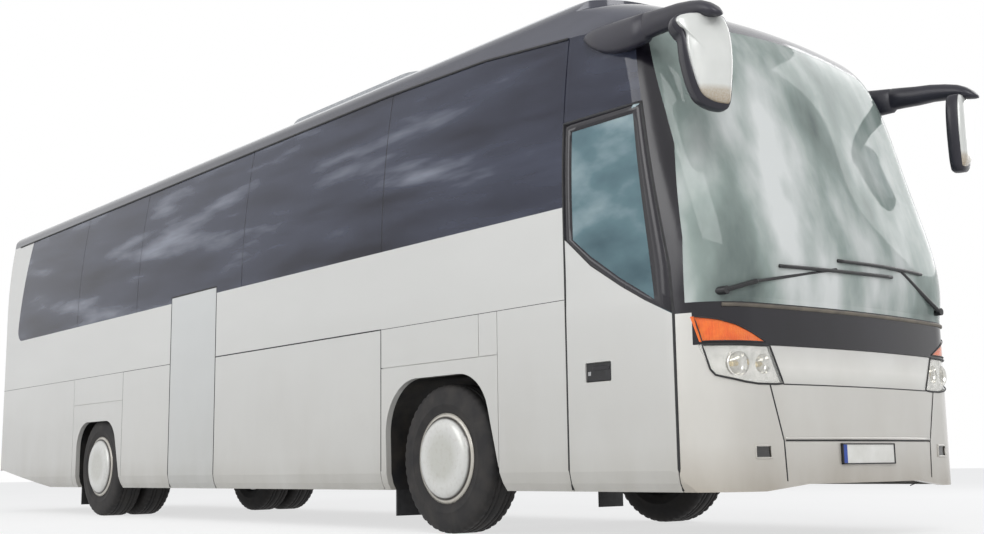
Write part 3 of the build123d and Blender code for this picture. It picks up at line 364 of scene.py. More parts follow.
def piece(name, verts, faces, material, body, smooth=True):
    """A mesh piece with its material, riding on a body."""
    mesh = bpy.data.meshes.new(name)
    mesh.from_pydata([tuple(v) for v in verts], [], faces)
    mesh.materials.append(material)
    for face in mesh.polygons:
        face.use_smooth = smooth
    shape = bmesh.new()
    shape.from_mesh(mesh)
    bmesh.ops.remove_doubles(shape, verts=shape.verts, dist=1e-5)
    bmesh.ops.recalc_face_normals(shape, faces=shape.faces)
    shape.to_mesh(mesh)
    shape.free()
    made = bpy.data.objects.new(name, mesh)
    scene.collection.objects.link(made)
    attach(made, body)
    return made


def add(verts, faces, more):
    """Another form's vertices and faces, put behind the ones that are there."""
    faces += [tuple(i + len(verts) for i in face) for face in more[1]]
    verts += more[0]


def turned(section, centre, steps, notch=0):
    """A closed ring about an X axis, from a closed section of (x, radius)."""
    verts, faces, count = [], [], len(section)
    for k in range(steps):
        a = 2 * pi * k / steps
        for x, r in section:
            if notch and k % 3 == 0 and abs(x) > SHOULDER[0] and r > SHOULDER[1]:
                r -= notch
            verts.append((centre[0] + x, centre[1] + r * cos(a), centre[2] + r * sin(a)))
    for k in range(steps):
        for i in range(count):
            j, n = (i + 1) % count, (k + 1) % steps
            faces.append((k * count + i, k * count + j, n * count + j, n * count + i))
    return verts, faces


half_tyre = [
    (0.0, 0.522), (0.028, 0.522), (0.030, 0.510), (0.037, 0.510), (0.039, 0.522), (0.062, 0.522),
    (0.064, 0.510), (0.072, 0.510), (0.074, 0.522), (0.099, 0.5215), (0.117, 0.517), (0.127, 0.508),
    (0.138, 0.485), (0.1445, 0.455), (0.1485, 0.415), (0.1475, 0.385), (0.1495, 0.380), (0.147, 0.375),
    (0.144, 0.350), (0.134, 0.330), (0.1345, 0.322), (0.124, 0.308), (0.112, 0.296), (0.096, 0.2865),
]
tyre_section = half_tyre + [(-x, r) for x, r in reversed(half_tyre[1:])]
SHOULDER = (0.098, 0.495)
OUTER_WHEEL, INNER_WHEEL = 1.076, 0.736
front_axle, rear_axle, axle_up = station(2630), station(8790), 0.522
for node, body, sign, reaches, y in (
    ("tyre_front_left", "wheel_front_left", 1, [OUTER_WHEEL], front_axle),
    ("tyre_front_right", "wheel_front_right", -1, [OUTER_WHEEL], front_axle),
    ("tyre_rear_left", "wheel_rear_left", 1, [OUTER_WHEEL, INNER_WHEEL], rear_axle),
    ("tyre_rear_right", "wheel_rear_right", -1, [OUTER_WHEEL, INNER_WHEEL], rear_axle),
):
    verts, faces = [], []
    for reach in reaches:
        add(verts, faces, turned(tyre_section, (sign * reach, y, axle_up), 144, notch=0.009))
    made = piece(node + "_tread", verts, faces, tyre_rubber, body)
    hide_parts(node)


# Wheels: pressed steel rims, bolted to the hubs and painted silver-white.
# Brake dust and rust collect round the disc's groove and along the rim's edge.
def ringed_paint(name, y, rough, metal, rings, grain, speckle, dirt):
    """Paint that changes in rings about a wheel's axis, speckled with dirt of this grain."""
    mat, tree, shader, coords = finish(name, rough, metal, 0.5)
    flat = tree.nodes.new("ShaderNodeVectorMath")
    flat.operation, flat.inputs[1].default_value = "MULTIPLY", (0, 1, 1)
    reach = tree.nodes.new("ShaderNodeVectorMath")
    reach.operation, reach.inputs[1].default_value = "DISTANCE", (0, y, axle_up)
    tree.links.new(coords, flat.inputs[0])
    tree.links.new(flat.outputs[0], reach.inputs[0])
    painted = ramp(tree, reach.outputs["Value"], *rings)
    spots = ramp(tree, cloud(tree, coords, grain, (1, 1, 1), 6), *speckle)
    tree.links.new(mix(tree, spots, painted, dirt), shader.inputs["Base Color"])
    return mat


white, shade, rust, dark = tone(214, 215, 216), tone(196, 196, 195), tone(104, 84, 66), tone(58, 52, 47)
rim_rings = ((0.0, white), (0.196, shade), (0.203, dark), (0.216, rust), (0.226, shade),
             (0.282, white), (0.292, rust), (0.3, dark))
rim_speckle = ((0.45, grey(0)), (0.85, grey(0.45)))
rim_dust = tone(150, 138, 120)
for end, y in (("front", front_axle), ("rear", rear_axle)):
    rim_paint = ringed_paint(f"wheel_paint_{end}", y, 0.3, 0.2, rim_rings, 0.08, rim_speckle, rim_dust)
    dress(rim_paint, f"wheel_{end}_left", f"wheel_{end}_right")


# Wheel covers: domed discs pressed from sheet, with a rolled ring and a dark groove round the dome.
# The dome is silver-white, the flat inside it warm grey, the ring speckled with brake dust.
dome, inner, ring, groove = tone(208, 208, 204), tone(190, 190, 183), tone(190, 186, 176), tone(52, 47, 42)
cover_rings = ((0.0, inner), (0.12, inner), (0.2, dome), (0.272, dome), (0.281, groove), (0.290, groove),
               (0.296, ring), (0.318, ring))
cover_speckle = ((0.5, grey(0)), (0.85, grey(0.3)))
cover_dust = tone(150, 138, 118)
RIM_FACE = 0.112
dish = [
    (0.024, 0.318), (0.032, 0.300), (0.034, 0.288), (0.028, 0.286), (0.034, 0.283), (0.050, 0.272),
    (0.064, 0.250), (0.070, 0.215), (0.068, 0.190), (0.066, 0.120), (0.066, 0.030), (0.066, 0.004),
    (0.066, 0.0005), (0.064, 0.0005), (0.064, 0.004), (0.064, 0.120), (0.066, 0.190), (0.068, 0.215),
    (0.062, 0.249), (0.048, 0.270), (0.032, 0.281), (0.026, 0.284), (0.031, 0.289), (0.030, 0.299),
    (0.022, 0.317),
]
for end, y in (("front", front_axle), ("rear", rear_axle)):
    cover_coat = ringed_paint(f"cover_paint_{end}", y, 0.32, 0.15, cover_rings, 0.03, cover_speckle, cover_dust)
    for side, sign in (("left", 1), ("right", -1)):
        section = [(sign * (RIM_FACE + x), r) for x, r in dish]
        verts, faces = turned(section, (sign * OUTER_WHEEL, y, axle_up), 72)
        piece(f"wheel_cover_{end}_{side}", verts, faces, cover_coat, f"wheel_{end}_{side}")


# Wheel nuts: ten round-headed nuts on each inner flange, seen from under the coach.
# One tree sets them round the hub; each wheel keeps its own mesh.
def new_tree(name, *sockets):
    """A tree that gives a mesh, with named inputs of these kinds and values."""
    tree = bpy.data.node_groups.new(name, "GeometryNodeTree")
    tree.interface.new_socket("Geometry", in_out="OUTPUT", socket_type="NodeSocketGeometry")
    for label, kind, value in sockets:
        tree.interface.new_socket(label, in_out="INPUT", socket_type="NodeSocket" + kind).default_value = value
    return tree, tree.nodes.new, tree.links.new


def ring_of(name, count, radius, head, length, material):
    """A tree that sets small round heads in a ring about the X axis."""
    tree, new, link = new_tree(name, ("Count", "Int", count), ("Ring radius", "Float", radius),
                               ("Head radius", "Float", head), ("Head length", "Float", length))
    given, end = new("NodeGroupInput"), new("NodeGroupOutput")
    circle, one = new("GeometryNodeMeshCircle"), new("GeometryNodeMeshCylinder")
    put, real = new("GeometryNodeInstanceOnPoints"), new("GeometryNodeRealizeInstances")
    coat, turn = new("GeometryNodeSetMaterial"), new("GeometryNodeTransform")
    one.inputs["Vertices"].default_value = 10
    coat.inputs["Material"].default_value = material
    turn.inputs["Rotation"].default_value = (0, pi / 2, 0)
    link(given.outputs["Count"], circle.inputs["Vertices"])
    link(given.outputs["Ring radius"], circle.inputs["Radius"])
    link(given.outputs["Head radius"], one.inputs["Radius"])
    link(given.outputs["Head length"], one.inputs["Depth"])
    link(circle.outputs[0], put.inputs["Points"])
    link(one.outputs["Mesh"], put.inputs["Instance"])
    link(put.outputs[0], turn.inputs[0])
    link(turn.outputs[0], real.inputs[0])
    link(real.outputs[0], coat.inputs[0])
    link(coat.outputs[0], end.inputs[0])
    return tree


def grown(name, tree, place, body):
    """The tree's result as a plain mesh at a place, riding on a body."""
    carrier = bpy.data.objects.new(name + "_carrier", bpy.data.meshes.new(name + "_carrier"))
    scene.collection.objects.link(carrier)
    carrier.modifiers.new("grow", "NODES").node_group = tree
    bpy.context.view_layer.update()
    settled = carrier.evaluated_get(bpy.context.evaluated_depsgraph_get())
    mesh = bpy.data.meshes.new_from_object(settled)
    bpy.data.objects.remove(carrier)
    mesh.transform(Matrix.Translation(place))
    mesh.name = name
    made = bpy.data.objects.new(name, mesh)
    scene.collection.objects.link(made)
    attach(made, body)
    return made


nut_steel = chassis("nut_steel", tone(92, 88, 84), tone(120, 104, 88), 0.6)
nut_tree = ring_of("wheel_nuts", 10, 0.168, 0.016, 0.03, nut_steel)
SUNK = 0.012
for end, y, flange in (("front", front_axle, 1.096), ("rear", rear_axle, 0.812)):
    for side, sign in (("left", 1), ("right", -1)):
        place = (sign * flange - sign * SUNK, y, axle_up)
        grown(f"wheel_nuts_{end}_{side}", nut_tree, place, f"wheel_{end}_{side}")


# Rubber seals in the joints of doors, flaps and panes: extruded profiles pushed into the gap,
# sunk a little under the paint so that each seam reads as a fine dark line.
# Rays shot at the panels find the skin, so seals and lamp trims sit on the real surface.
from mathutils.bvhtree import BVHTree

skin_verts, skin_faces = [], []
for name in (
    "windscreen", "screen_frame", "front_band", "silver_band", "bumper", "front_corners", "lamp_lenses",
    "indicators", "side_panels_right", "side_panels_left", "waist_panels", "window_frames", "side_glass",
    "rear_wall", "rear_window", "tail_lamps", "engine_lid", "front_door", "front_door_glass", "middle_door",
    "luggage_flap_right", "luggage_flap_left_front", "luggage_flap_left_rear", "roof_shell",
):
    mesh = nodes[name].data
    base = len(skin_verts)
    skin_verts += [v.co.copy() for v in mesh.vertices]
    skin_faces += [tuple(i + base for i in face.vertices) for face in mesh.polygons]
skin = BVHTree.FromPolygons(skin_verts, skin_faces)


HALF_WIDTH, WELL_INSIDE = 1.27, 0.9


def from_side(side, y, z):
    """The skin's point at a station and height, seen from one side. Rays round it look past a gap."""
    best = None
    for dy, dz in ((0, 0), (0.014, 0), (-0.014, 0), (0, 0.014), (0, -0.014)):
        hit = skin.ray_cast(Vector((side * 3, y + dy, z + dz)), Vector((-side, 0, 0)))[0]
        if hit is not None and abs(hit.x) > WELL_INSIDE and (best is None or abs(hit.x) > abs(best)):
            best = hit.x
    return Vector((best if best is not None else side * HALF_WIDTH, y, z))


def from_front(x, z):
    """The skin's point at a reach and height, seen from ahead."""
    best = None
    for dx, dz in ((0, 0), (0.012, 0), (-0.012, 0), (0, 0.012), (0, -0.012)):
        hit = skin.ray_cast(Vector((x + dx, -9, z + dz)), Vector((0, 1, 0)))[0]
        if hit is not None and (best is None or hit.y < best):
            best = hit.y
    return Vector((x, best if best is not None else station(200), z))


def from_back(x, z):
    """The skin's point at a reach and height, seen from behind."""
    hit = skin.ray_cast(Vector((x, 9, z)), Vector((0, -1, 0)))[0]
    return Vector((x, hit.y if hit is not None else station(12100), z))


def filled(points, gap, closed=False):
    """Points along a line, close enough together to follow a curved skin."""
    row, ends = [], list(zip(points, points[1:] + points[:1] if closed else points[1:]))
    for a, b in ends:
        a, b = Vector(a), Vector(b)
        count = max(1, int((b - a).length / gap))
        row += [a.lerp(b, i / count) for i in range(count)]
    return row if closed else row + [Vector(points[-1])]


NOSE_END, NOSE_CENTRE = -4.6, -3.5


def bead(name, points, radius, material, body, closed=False, flat=1.0, sides=8):
    """A round or flattened bead along points, closed at its ends."""
    verts, faces, count = [], [], len(points)
    for i, p in enumerate(points):
        before = points[i - 1] if i or closed else p
        after = points[(i + 1) % count] if i < count - 1 or closed else p
        run = (Vector(after) - Vector(before)).normalized()
        on_nose = p[1] < NOSE_END and abs(p[0]) < 1.2
        out = Vector((p[0], p[1] - NOSE_CENTRE if on_nose else 0, 0))
        out = (out - run * out.dot(run)).normalized() if out.length else Vector((1, 0, 0))
        over = run.cross(out).normalized()
        for k in range(sides):
            a = 2 * pi * k / sides
            verts.append(Vector(p) + over * (radius * cos(a)) + out * (radius * flat * sin(a)))
    steps = count if closed else count - 1
    for i in range(steps):
        here, there = i * sides, (i + 1) % count * sides
        for k in range(sides):
            n = (k + 1) % sides
            faces.append((here + k, here + n, there + n, there + k))
    if not closed:
        faces += [tuple(range(sides)), tuple(range((count - 1) * sides, count * sides))]
    return piece(name, verts, faces, material, body)


def side_run(side, rows, sink, gap=0.12):
    """Points on the skin along rows of (station, height), sunk a little under it."""
    flat = filled([(0, station(y), z) for y, z in rows], gap)
    return [from_side(side, p.y, p.z) - Vector((side * sink, 0, 0)) for p in flat]


# Heights of the sill, the waist and the panes, and stations of the upright joints.
SILL, WAIST, ENTRANCE_HEAD, PANE_FOOT, PANE_HEAD, ARCH_TOP = 0.31, 1.495, 2.15, 2.09, 3.34, 0.42
CAB_END, FLAP_START, FLAPS_MEET, ENTRANCE_START = 1290, 3350, 5735, 6050
ENTRANCE_END, ARCH_END, TAIL = 7000, 8120, 11830
SEAL_SUNK = 0.006
door_edge = [(382, SILL), (382, 1.31), (402, 1.60), (600, 2.63)]
right_seals = [
    ("front_door_seal", door_edge + [(CAB_END, 2.64)], 0.011),
    ("front_door_rear_seal", [(CAB_END, 2.64), (CAB_END, SILL)], 0.009),
    ("middle_door_seal", [(ENTRANCE_START, SILL), (ENTRANCE_START, ENTRANCE_HEAD),
                          (ENTRANCE_END, ENTRANCE_HEAD), (ENTRANCE_END, SILL)], 0.0085),
    ("flap_seal", [(FLAP_START, SILL), (FLAP_START, WAIST), (ENTRANCE_START, WAIST)], 0.008),
    ("service_seam", [(ENTRANCE_END, WAIST), (ARCH_END, WAIST), (ARCH_END, ARCH_TOP)], 0.007),
]
left_seals = [
    ("cab_seam", [(CAB_END, SILL), (CAB_END, WAIST)], 0.006),
    ("flap_seal_front", [(FLAP_START, SILL), (FLAP_START, WAIST), (FLAPS_MEET, WAIST), (FLAPS_MEET, SILL)], 0.008),
    ("flap_seal_rear", [(FLAPS_MEET, WAIST), (ARCH_END, WAIST), (ARCH_END, ARCH_TOP)], 0.008),
]
for side, mark, seals in ((-1, "right", right_seals), (1, "left", left_seals)):
    seals.append(("waist_seam_front", [(CAB_END, WAIST), (FLAP_START, WAIST)], 0.0065))
    seals.append(("waist_seam_rear", [(ARCH_END, WAIST), (TAIL, WAIST)], 0.0065))
    for at in (3340, 5570, 7830, 9450):
        foot = ENTRANCE_HEAD if at == 5570 and side < 0 else PANE_FOOT
        seals.append((f"pane_joint_{at}", [(at, foot), (at, PANE_HEAD)], 0.007))
    for name, rows, radius in seals:
        bead(f"{name}_{mark}", side_run(side, rows, SEAL_SUNK), radius, black_rubber, "coach")


# Roof rails: a slim black rubber strip, pressed into the joint between the panes and the roof.
# It follows the roof's edge from the front door to the tail.
roof_edge = [(1300, 3.236), (2180, 3.322), (3400, 3.357), (11780, 3.357)]
for side, mark in ((-1, "right"), (1, "left")):
    bead(f"roof_rail_{mark}", side_run(side, roof_edge, -0.002, 0.2), 0.009, black_rubber, "coach", flat=0.6)


# Headlamps: two chromed bowls with bulb shields behind one clear cover, in a black gasket.
# Over each sits a ribbed amber indicator; fog lamps sit in the corners of the bumper.
def outline(points, gap, sink, sign):
    """A closed outline laid on the nose, on one side of it."""
    rows = filled([(x, 0, z) for x, z in points], gap, True)
    return [from_front(sign * p.x, p.z) - Vector((0, sink, 0)) for p in rows]


def two_tone(name, base, other, spot, rough, metal=0.0, coat=0.0, stretch=(1, 1, 1)):
    """A finish whose colour drifts between two tones, in spots of about this size."""
    mat, tree, shader, coords = finish(name, rough, metal, coat)
    spots = cloud(tree, coords, spot, stretch)
    tree.links.new(ramp(tree, spots, (0.3, base), (0.7, other)), shader.inputs["Base Color"])
    return mat, tree, shader, coords


def lens(name, base, other, rough, ribs=0.0):
    """A moulded lamp glass, with upright ribs where it is given a scale for them."""
    mat, tree, shader, coords = two_tone(name, base, other, 0.05, rough, coat=0.6)
    if ribs:
        bars = tree.nodes.new("ShaderNodeTexWave")
        bars.bands_direction, bars.inputs["Scale"].default_value = "X", ribs
        tree.links.new(coords, bars.inputs["Vector"])
        emboss(tree, shader, bars.outputs["Fac"], 0.5, 0.004)
    return mat


amber = lens("amber_ribbed_lens", tone(236, 96, 20), tone(246, 120, 30), 0.2, 24)
dress(amber, "indicators")
red = lens("red_ribbed_lens", tone(150, 14, 18), tone(184, 24, 24), 0.18, 16)
dress(red, "tail_lamps")
chrome = two_tone("bowl_chrome", tone(206, 204, 198), tone(238, 236, 230), 0.06, 0.12, metal=0.9)[0]
dress(chrome, "headlamps")
cover, tree, shader, coords = two_tone("clear_cover", tone(226, 229, 226), tone(246, 246, 242), 0.1, 0.05, coat=0.3)
shader.inputs["Alpha"].default_value = 0.16
dress(cover, "lamp_lenses")
bulb_glass = lens("bulb_glass", tone(255, 214, 120), tone(255, 236, 180), 0.1)


def turned_front(section, x, y, z, steps=40):
    """A form of revolution about a line along Y, from a section of (radius, y)."""
    verts, faces, count = [], [], len(section)
    for k in range(steps):
        a = 2 * pi * k / steps
        verts += [(x + r * cos(a), y + d, z + r * sin(a)) for r, d in section]
    for k in range(steps):
        for i in range(count - 1):
            n = (k + 1) % steps
            faces.append((k * count + i, k * count + i + 1, n * count + i + 1, n * count + i))
    return verts, faces


lamp_edge = [(0.830, 1.124), (0.734, 0.908), (0.80, 0.904), (0.93, 0.904), (1.02, 0.914), (1.12, 0.937),
             (1.17, 0.952), (1.19, 0.985), (1.216, 1.124)]
flash_edge = [(0.852, 1.143), (1.214, 1.143), (1.237, 1.286), (1.15, 1.268), (1.06, 1.238), (0.95, 1.19)]
fog_edge = [(0.850, 0.486), (0.968, 0.486), (0.968, 0.556), (0.855, 0.556)]
bulb = [(0.001, 0.045), (0.008, 0.047), (0.013, 0.056), (0.013, 0.09), (0.018, 0.1), (0.001, 0.104)]
LAMP_UP = 1.018
for sign, mark in ((-1, "right"), (1, "left")):
    bead(f"lamp_gasket_{mark}", outline(lamp_edge, 0.03, 0.001, sign), 0.006, black_rubber, "coach", True, 0.7)
    bead(f"indicator_gasket_{mark}", outline(flash_edge, 0.03, 0.0, sign), 0.0045, black_rubber, "coach", True, 0.7)
    for x, r, kind in ((1.05, 0.068, "main"), (0.88, 0.056, "dip")):
        y = from_front(sign * x, LAMP_UP).y
        bowl = [(r, 0.036), (r + 0.004, 0.03), (r + 0.001, 0.022), (r - 0.008, 0.026), (r - 0.012, 0.05),
                (r * 0.72, 0.085), (r * 0.42, 0.108), (0.001, 0.112)]
        verts, faces = turned_front(bowl, sign * x, y, LAMP_UP)
        piece(f"lamp_bowl_{kind}_{mark}", verts, faces, chrome, "coach")
        verts, faces = turned_front(bulb, sign * x, y, LAMP_UP, 20)
        piece(f"lamp_bulb_{kind}_{mark}", verts, faces, bulb_glass, "coach")
    bead(f"fog_lip_{mark}", outline(fog_edge, 0.02, 0.001, sign), 0.006, nose_paint, "coach", True, 0.8)


def sheet_over(name, corners, cast, proud, thick, material, body, across=10, up=4):
    """A thin plate laid over the skin between four corners, with its own thickness."""
    a, b, c, d = [Vector(p) for p in corners]
    verts, faces = [], []
    for face in (0, 1):
        for j in range(up + 1):
            for i in range(across + 1):
                point, out = cast(a.lerp(b, i / across).lerp(d.lerp(c, i / across), j / up))
                verts.append(point + out * (proud - face * thick))
    row = across + 1
    size = row * (up + 1)
    for face in (0, 1):
        for j in range(up):
            for i in range(across):
                q = face * size + j * row + i
                faces.append((q, q + 1, q + row + 1, q + row))
    rim = list(range(row)) + [row * j + across for j in range(1, up + 1)]
    rim += [up * row + i for i in range(across - 1, -1, -1)] + [row * j for j in range(up - 1, 0, -1)]
    for i, j in zip(rim, rim[1:] + rim[:1]):
        faces.append((i, j, j + size, i + size))
    return piece(name, verts, faces, material, body, smooth=False)


def in_fog_opening(p):
    """The fog lamp's cover lies between the two sides of its opening."""
    sign, inner, outer = 1 if p.x > 0 else -1, 0.835, 0.985
    near, far = from_front(sign * inner, p.z), from_front(sign * outer, p.z)
    part = (abs(p.x) - inner) / (outer - inner)
    return Vector((p.x, near.y + (far.y - near.y) * part, p.z)), Vector((0, -1, 0))


smoked = lens("smoked_lens", tone(22, 21, 22), tone(40, 38, 37), 0.1)
for sign, mark in ((-1, "right"), (1, "left")):
    corners = [(sign * x, 0, z) for x, z in ((0.855, 0.49), (0.963, 0.49), (0.963, 0.552), (0.86, 0.552))]
    sheet_over(f"fog_glass_{mark}", corners, in_fog_opening, -0.006, 0.004, smoked, "coach", 6, 3)


# Rear brow: a pressed panel closes the rounded edge between the roof and the rear wall.
# It is bent to one radius, riveted under the roof's skin and painted with it.
BROW_CENTRE, BROW_RADIUS = (station(11780), 3.22), 0.319


def over_brow(p):
    """A point of the brow: p.x runs from side to side, p.z is the angle over the horizontal."""
    out = Vector((0, cos(radians(p.z)), sin(radians(p.z))))
    z = BROW_CENTRE[1] + BROW_RADIUS * out.z
    hit = skin.ray_cast(Vector((3, station(11868), z)), Vector((-1, 0, 0)))[0]
    x = p.x * ((abs(hit.x) if hit is not None else 1.0) - 0.004)
    return Vector((x, min(BROW_CENTRE[0] + BROW_RADIUS * out.y, from_back(x, 3.3).y - 0.001), z)), out


brow_corners = [(-1, 0, 20), (1, 0, 20), (1, 0, 64), (-1, 0, 64)]
sheet_over("rear_brow_panel", brow_corners, over_brow, 0.0, 0.004, roof_coat, "coach", 32, 14)


# Tail lamps: moulded ribbed panels, an amber one over the red one and a clear one under it.
# A black rubber gasket seals each lamp against the rear wall.
def over_tail(p):
    """A point of the rear wall and the way out of it."""
    return from_back(p.x, p.z), Vector((0, 1, 0))


clear_ribs = lens("clear_ribbed_lens", tone(206, 206, 202), tone(228, 228, 224), 0.15, 16)
for sign, mark in ((-1, "right"), (1, "left")):
    for label, low, high, glass in (("amber", 1.225, 1.365, amber), ("clear", 0.815, 0.945, clear_ribs)):
        corners = [(sign * x, 0, z) for x, z in ((0.985, low), (1.175, low), (1.175, high), (0.985, high))]
        sheet_over(f"tail_lamp_{label}_{mark}", corners, over_tail, 0.004, 0.006, glass, "coach", 8, 2)
    edge = filled([(sign * x, 0, z) for x, z in ((0.96, 0.78), (1.2, 0.78), (1.2, 1.4), (0.96, 1.4))], 0.04, True)
    bead(f"tail_lamp_gasket_{mark}", [from_back(p.x, p.z) for p in edge], 0.005, black_rubber, "coach", True)


# Bumper: a moulded skin in three panels, painted white and clipped together at dark joints.
# A shelf runs over the plate, and fine joints run over and under the silver band.
def across_nose(z, half, gap=0.06):
    """Points on the nose at one height, from side to side."""
    steps = int(2 * half / gap)
    return [from_front(-half + 2 * half * i / steps, z) for i in range(steps + 1)]


bead("bumper_shelf", across_nose(0.596, 0.74), 0.008, nose_paint, "coach", flat=0.7)
bead("bumper_shelf_joint", across_nose(0.584, 0.735), 0.004, black_rubber, "coach", flat=0.7)
for sign, mark in ((-1, "right"), (1, "left")):
    joint = filled([(sign * 0.840, 0, 0.900), (sign * 0.750, 0, 0.580), (sign * 0.735, 0, 0.300)], 0.05)
    bead(f"bumper_joint_{mark}", [from_front(p.x, p.z) for p in joint], 0.0045, black_rubber, "coach", flat=0.5)
bead("band_foot_trim", across_nose(1.129, 0.83), 0.004, black_rubber, "coach", flat=0.7)
bead("silver_band_joint", across_nose(0.905, 0.732), 0.0035, black_rubber, "coach", flat=0.6)
ledge_grey = chassis("ledge_grey", tone(92, 86, 78), tone(120, 112, 100), 0.1)
bead("screen_foot_ledge", across_nose(1.352, 1.13), 0.012, ledge_grey, "coach", flat=0.7)


# Number plates: bare white aluminium with a plain blue strip at one end, pressed from sheet.
# The front one sits in a slim black holder that is screwed to the bumper.
dress(two_tone("plate_white", tone(222, 221, 214), tone(236, 235, 230), 0.1, 0.4)[0], "number_plates")
strip = two_tone("plate_blue", tone(24, 62, 150), tone(34, 76, 168), 0.05, 0.4)[0]
face_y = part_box("number_plates")[0].y


def slab(name, xs, ys, zs, material, body, soft):
    """A flat bar with bevelled edges, between two values along each axis."""
    shape = bmesh.new()
    bmesh.ops.create_cube(shape, size=1)
    for v in shape.verts:
        v.co = [(low + high) / 2 + part * (high - low) for part, (low, high) in zip(v.co, (xs, ys, zs))]
    bmesh.ops.bevel(shape, geom=shape.edges[:], offset=soft, segments=3, affect="EDGES", profile=0.5)
    verts, faces = [v.co.copy() for v in shape.verts], [tuple(v.index for v in f.verts) for f in shape.faces]
    shape.free()
    return piece(name, verts, faces, material, body, smooth=False)


slab("plate_strip", (-0.260, -0.222), (face_y - 0.0012, face_y + 0.002), (0.4505, 0.5595), strip, "coach", 0.0004)
for name, xs, zs in (
    ("top", (-0.27, 0.27), (0.56, 0.567)), ("foot", (-0.27, 0.27), (0.443, 0.45)),
    ("right", (-0.27, -0.26), (0.443, 0.567)), ("left", (0.26, 0.27), (0.443, 0.567)),
):
    slab(f"plate_holder_{name}", xs, (face_y - 0.004, face_y + 0.012), zs, black_rubber, "coach", 0.001)


# Front door glass: a black printed border runs round the pane, wider along the slanting sill.
# It is a thin sheet over the leaf, and it opens with the door.
border_out = [(1281, 2.631), (1281, 1.878), (1055, 1.680), (800, 1.524), (600, 1.416), (392, 1.322),
              (404, 1.600), (596, 2.631)]
border_in = [(1205, 2.570), (1205, 1.866), (1052, 1.742), (797, 1.572), (655, 1.492), (520, 1.412),
             (543, 1.600), (660, 2.570)]


def ring_rows(outer, inner, gap=0.08):
    """Both edges of a border, cut into the same number of short runs."""
    rows = []
    for k in range(len(outer)):
        a, b = Vector((0, *outer[k])), Vector((0, *outer[(k + 1) % len(outer)]))
        c, d = Vector((0, *inner[k])), Vector((0, *inner[(k + 1) % len(inner)]))
        steps = max(1, int(Vector((0, (b.y - a.y) / 1000, b.z - a.z)).length / gap))
        rows += [(a.lerp(b, i / steps), c.lerp(d, i / steps)) for i in range(steps)]
    return rows


verts, faces = [], []
border_rows = ring_rows(border_out, border_in)
for outer, inner in border_rows:
    for part in (0.0, 0.5, 1.0):
        p = outer.lerp(inner, part)
        hit = from_side(-1, station(p.y), p.z)
        verts += [hit + Vector((-0.0012, 0, 0)), hit + Vector((0.0008, 0, 0))]
count = len(border_rows)
for i in range(count):
    j = (i + 1) % count
    for k in (0, 1):
        faces.append((i * 6 + 2 * k, i * 6 + 2 * k + 2, j * 6 + 2 * k + 2, j * 6 + 2 * k))
        faces.append((i * 6 + 2 * k + 1, i * 6 + 2 * k + 3, j * 6 + 2 * k + 3, j * 6 + 2 * k + 1))
    faces += [(i * 6, i * 6 + 1, j * 6 + 1, j * 6), (i * 6 + 4, i * 6 + 5, j * 6 + 5, j * 6 + 4)]
piece("front_door_border", verts, faces, black_gloss, "front_door")


# Door handle: a black moulded plate fills the recess in the front door, with a pull bar over it
# and a bare metal lock beside the bar. All three are screwed to the leaf.
lock_tones = tone(150, 151, 152), tone(186, 187, 188)
lock_metal = two_tone("lock_metal", *lock_tones, 0.2, 0.35, metal=0.85, stretch=(1, 6, 1))[0]
plate_x = from_side(-1, station(860), 1.02).x
for label, near, far, start, stop, zs, material, soft in (
    ("plate", 0.006, 0.024, 899, 1116, (0.964, 1.076), black_rubber, 0.004),
    ("pull", 0.0015, 0.012, 915, 1060, (1.03, 1.058), black_gloss, 0.005),
    ("lock", 0.004, 0.012, 1078, 1104, (1.0, 1.026), lock_metal, 0.004),
):
    xs, ys = (plate_x + near, plate_x + far), (station(start), station(stop))
    slab(f"handle_{label}", xs, ys, zs, material, "front_door", soft)


# Mirrors: long boat-shaped arms of black moulded plastic swell along the brow and wrap over the
# head of each mirror. The shells are silver-white shields in a black rim, toed out a little;
# the silvered glass faces back towards the driver.
ARM_RINGS = (  # station, distance from the middle, height of the top and of the foot, half thickness
    (1138, 1.196, 3.188, 3.180, 0.006), (1100, 1.200, 3.203, 3.140, 0.026), (1040, 1.209, 3.207, 3.090, 0.042),
    (960, 1.220, 3.204, 3.045, 0.052), (855, 1.236, 3.193, 3.004, 0.059), (732, 1.254, 3.180, 2.978, 0.062),
    (597, 1.274, 3.163, 2.968, 0.062), (497, 1.288, 3.151, 2.972, 0.059), (492, 1.289, 3.146, 2.980, 0.054),
    (484, 1.290, 3.145, 2.982, 0.054), (478, 1.291, 3.149, 2.990, 0.057), (400, 1.299, 3.138, 2.988, 0.055),
    (304, 1.310, 3.124, 2.984, 0.053), (191, 1.323, 3.112, 2.986, 0.053), (80, 1.335, 3.090, 2.976, 0.056),
    (-5, 1.343, 3.066, 2.962, 0.060), (-60, 1.348, 3.038, 2.952, 0.060), (-100, 1.352, 3.006, 2.945, 0.052),
    (-128, 1.355, 2.972, 2.944, 0.030), (-136, 1.356, 2.962, 2.952, 0.008),
)
RIM = [
    (0.218, 2.916), (0.188, 2.965), (0.076, 2.988), (-0.071, 2.981), (-0.110, 2.952), (-0.136, 2.863),
    (-0.144, 2.713), (-0.128, 2.516), (-0.112, 2.452), (-0.083, 2.425), (-0.009, 2.431), (0.058, 2.461),
    (0.095, 2.503), (0.130, 2.597), (0.158, 2.729), (0.166, 2.836), (0.192, 2.862), (0.211, 2.888),
]
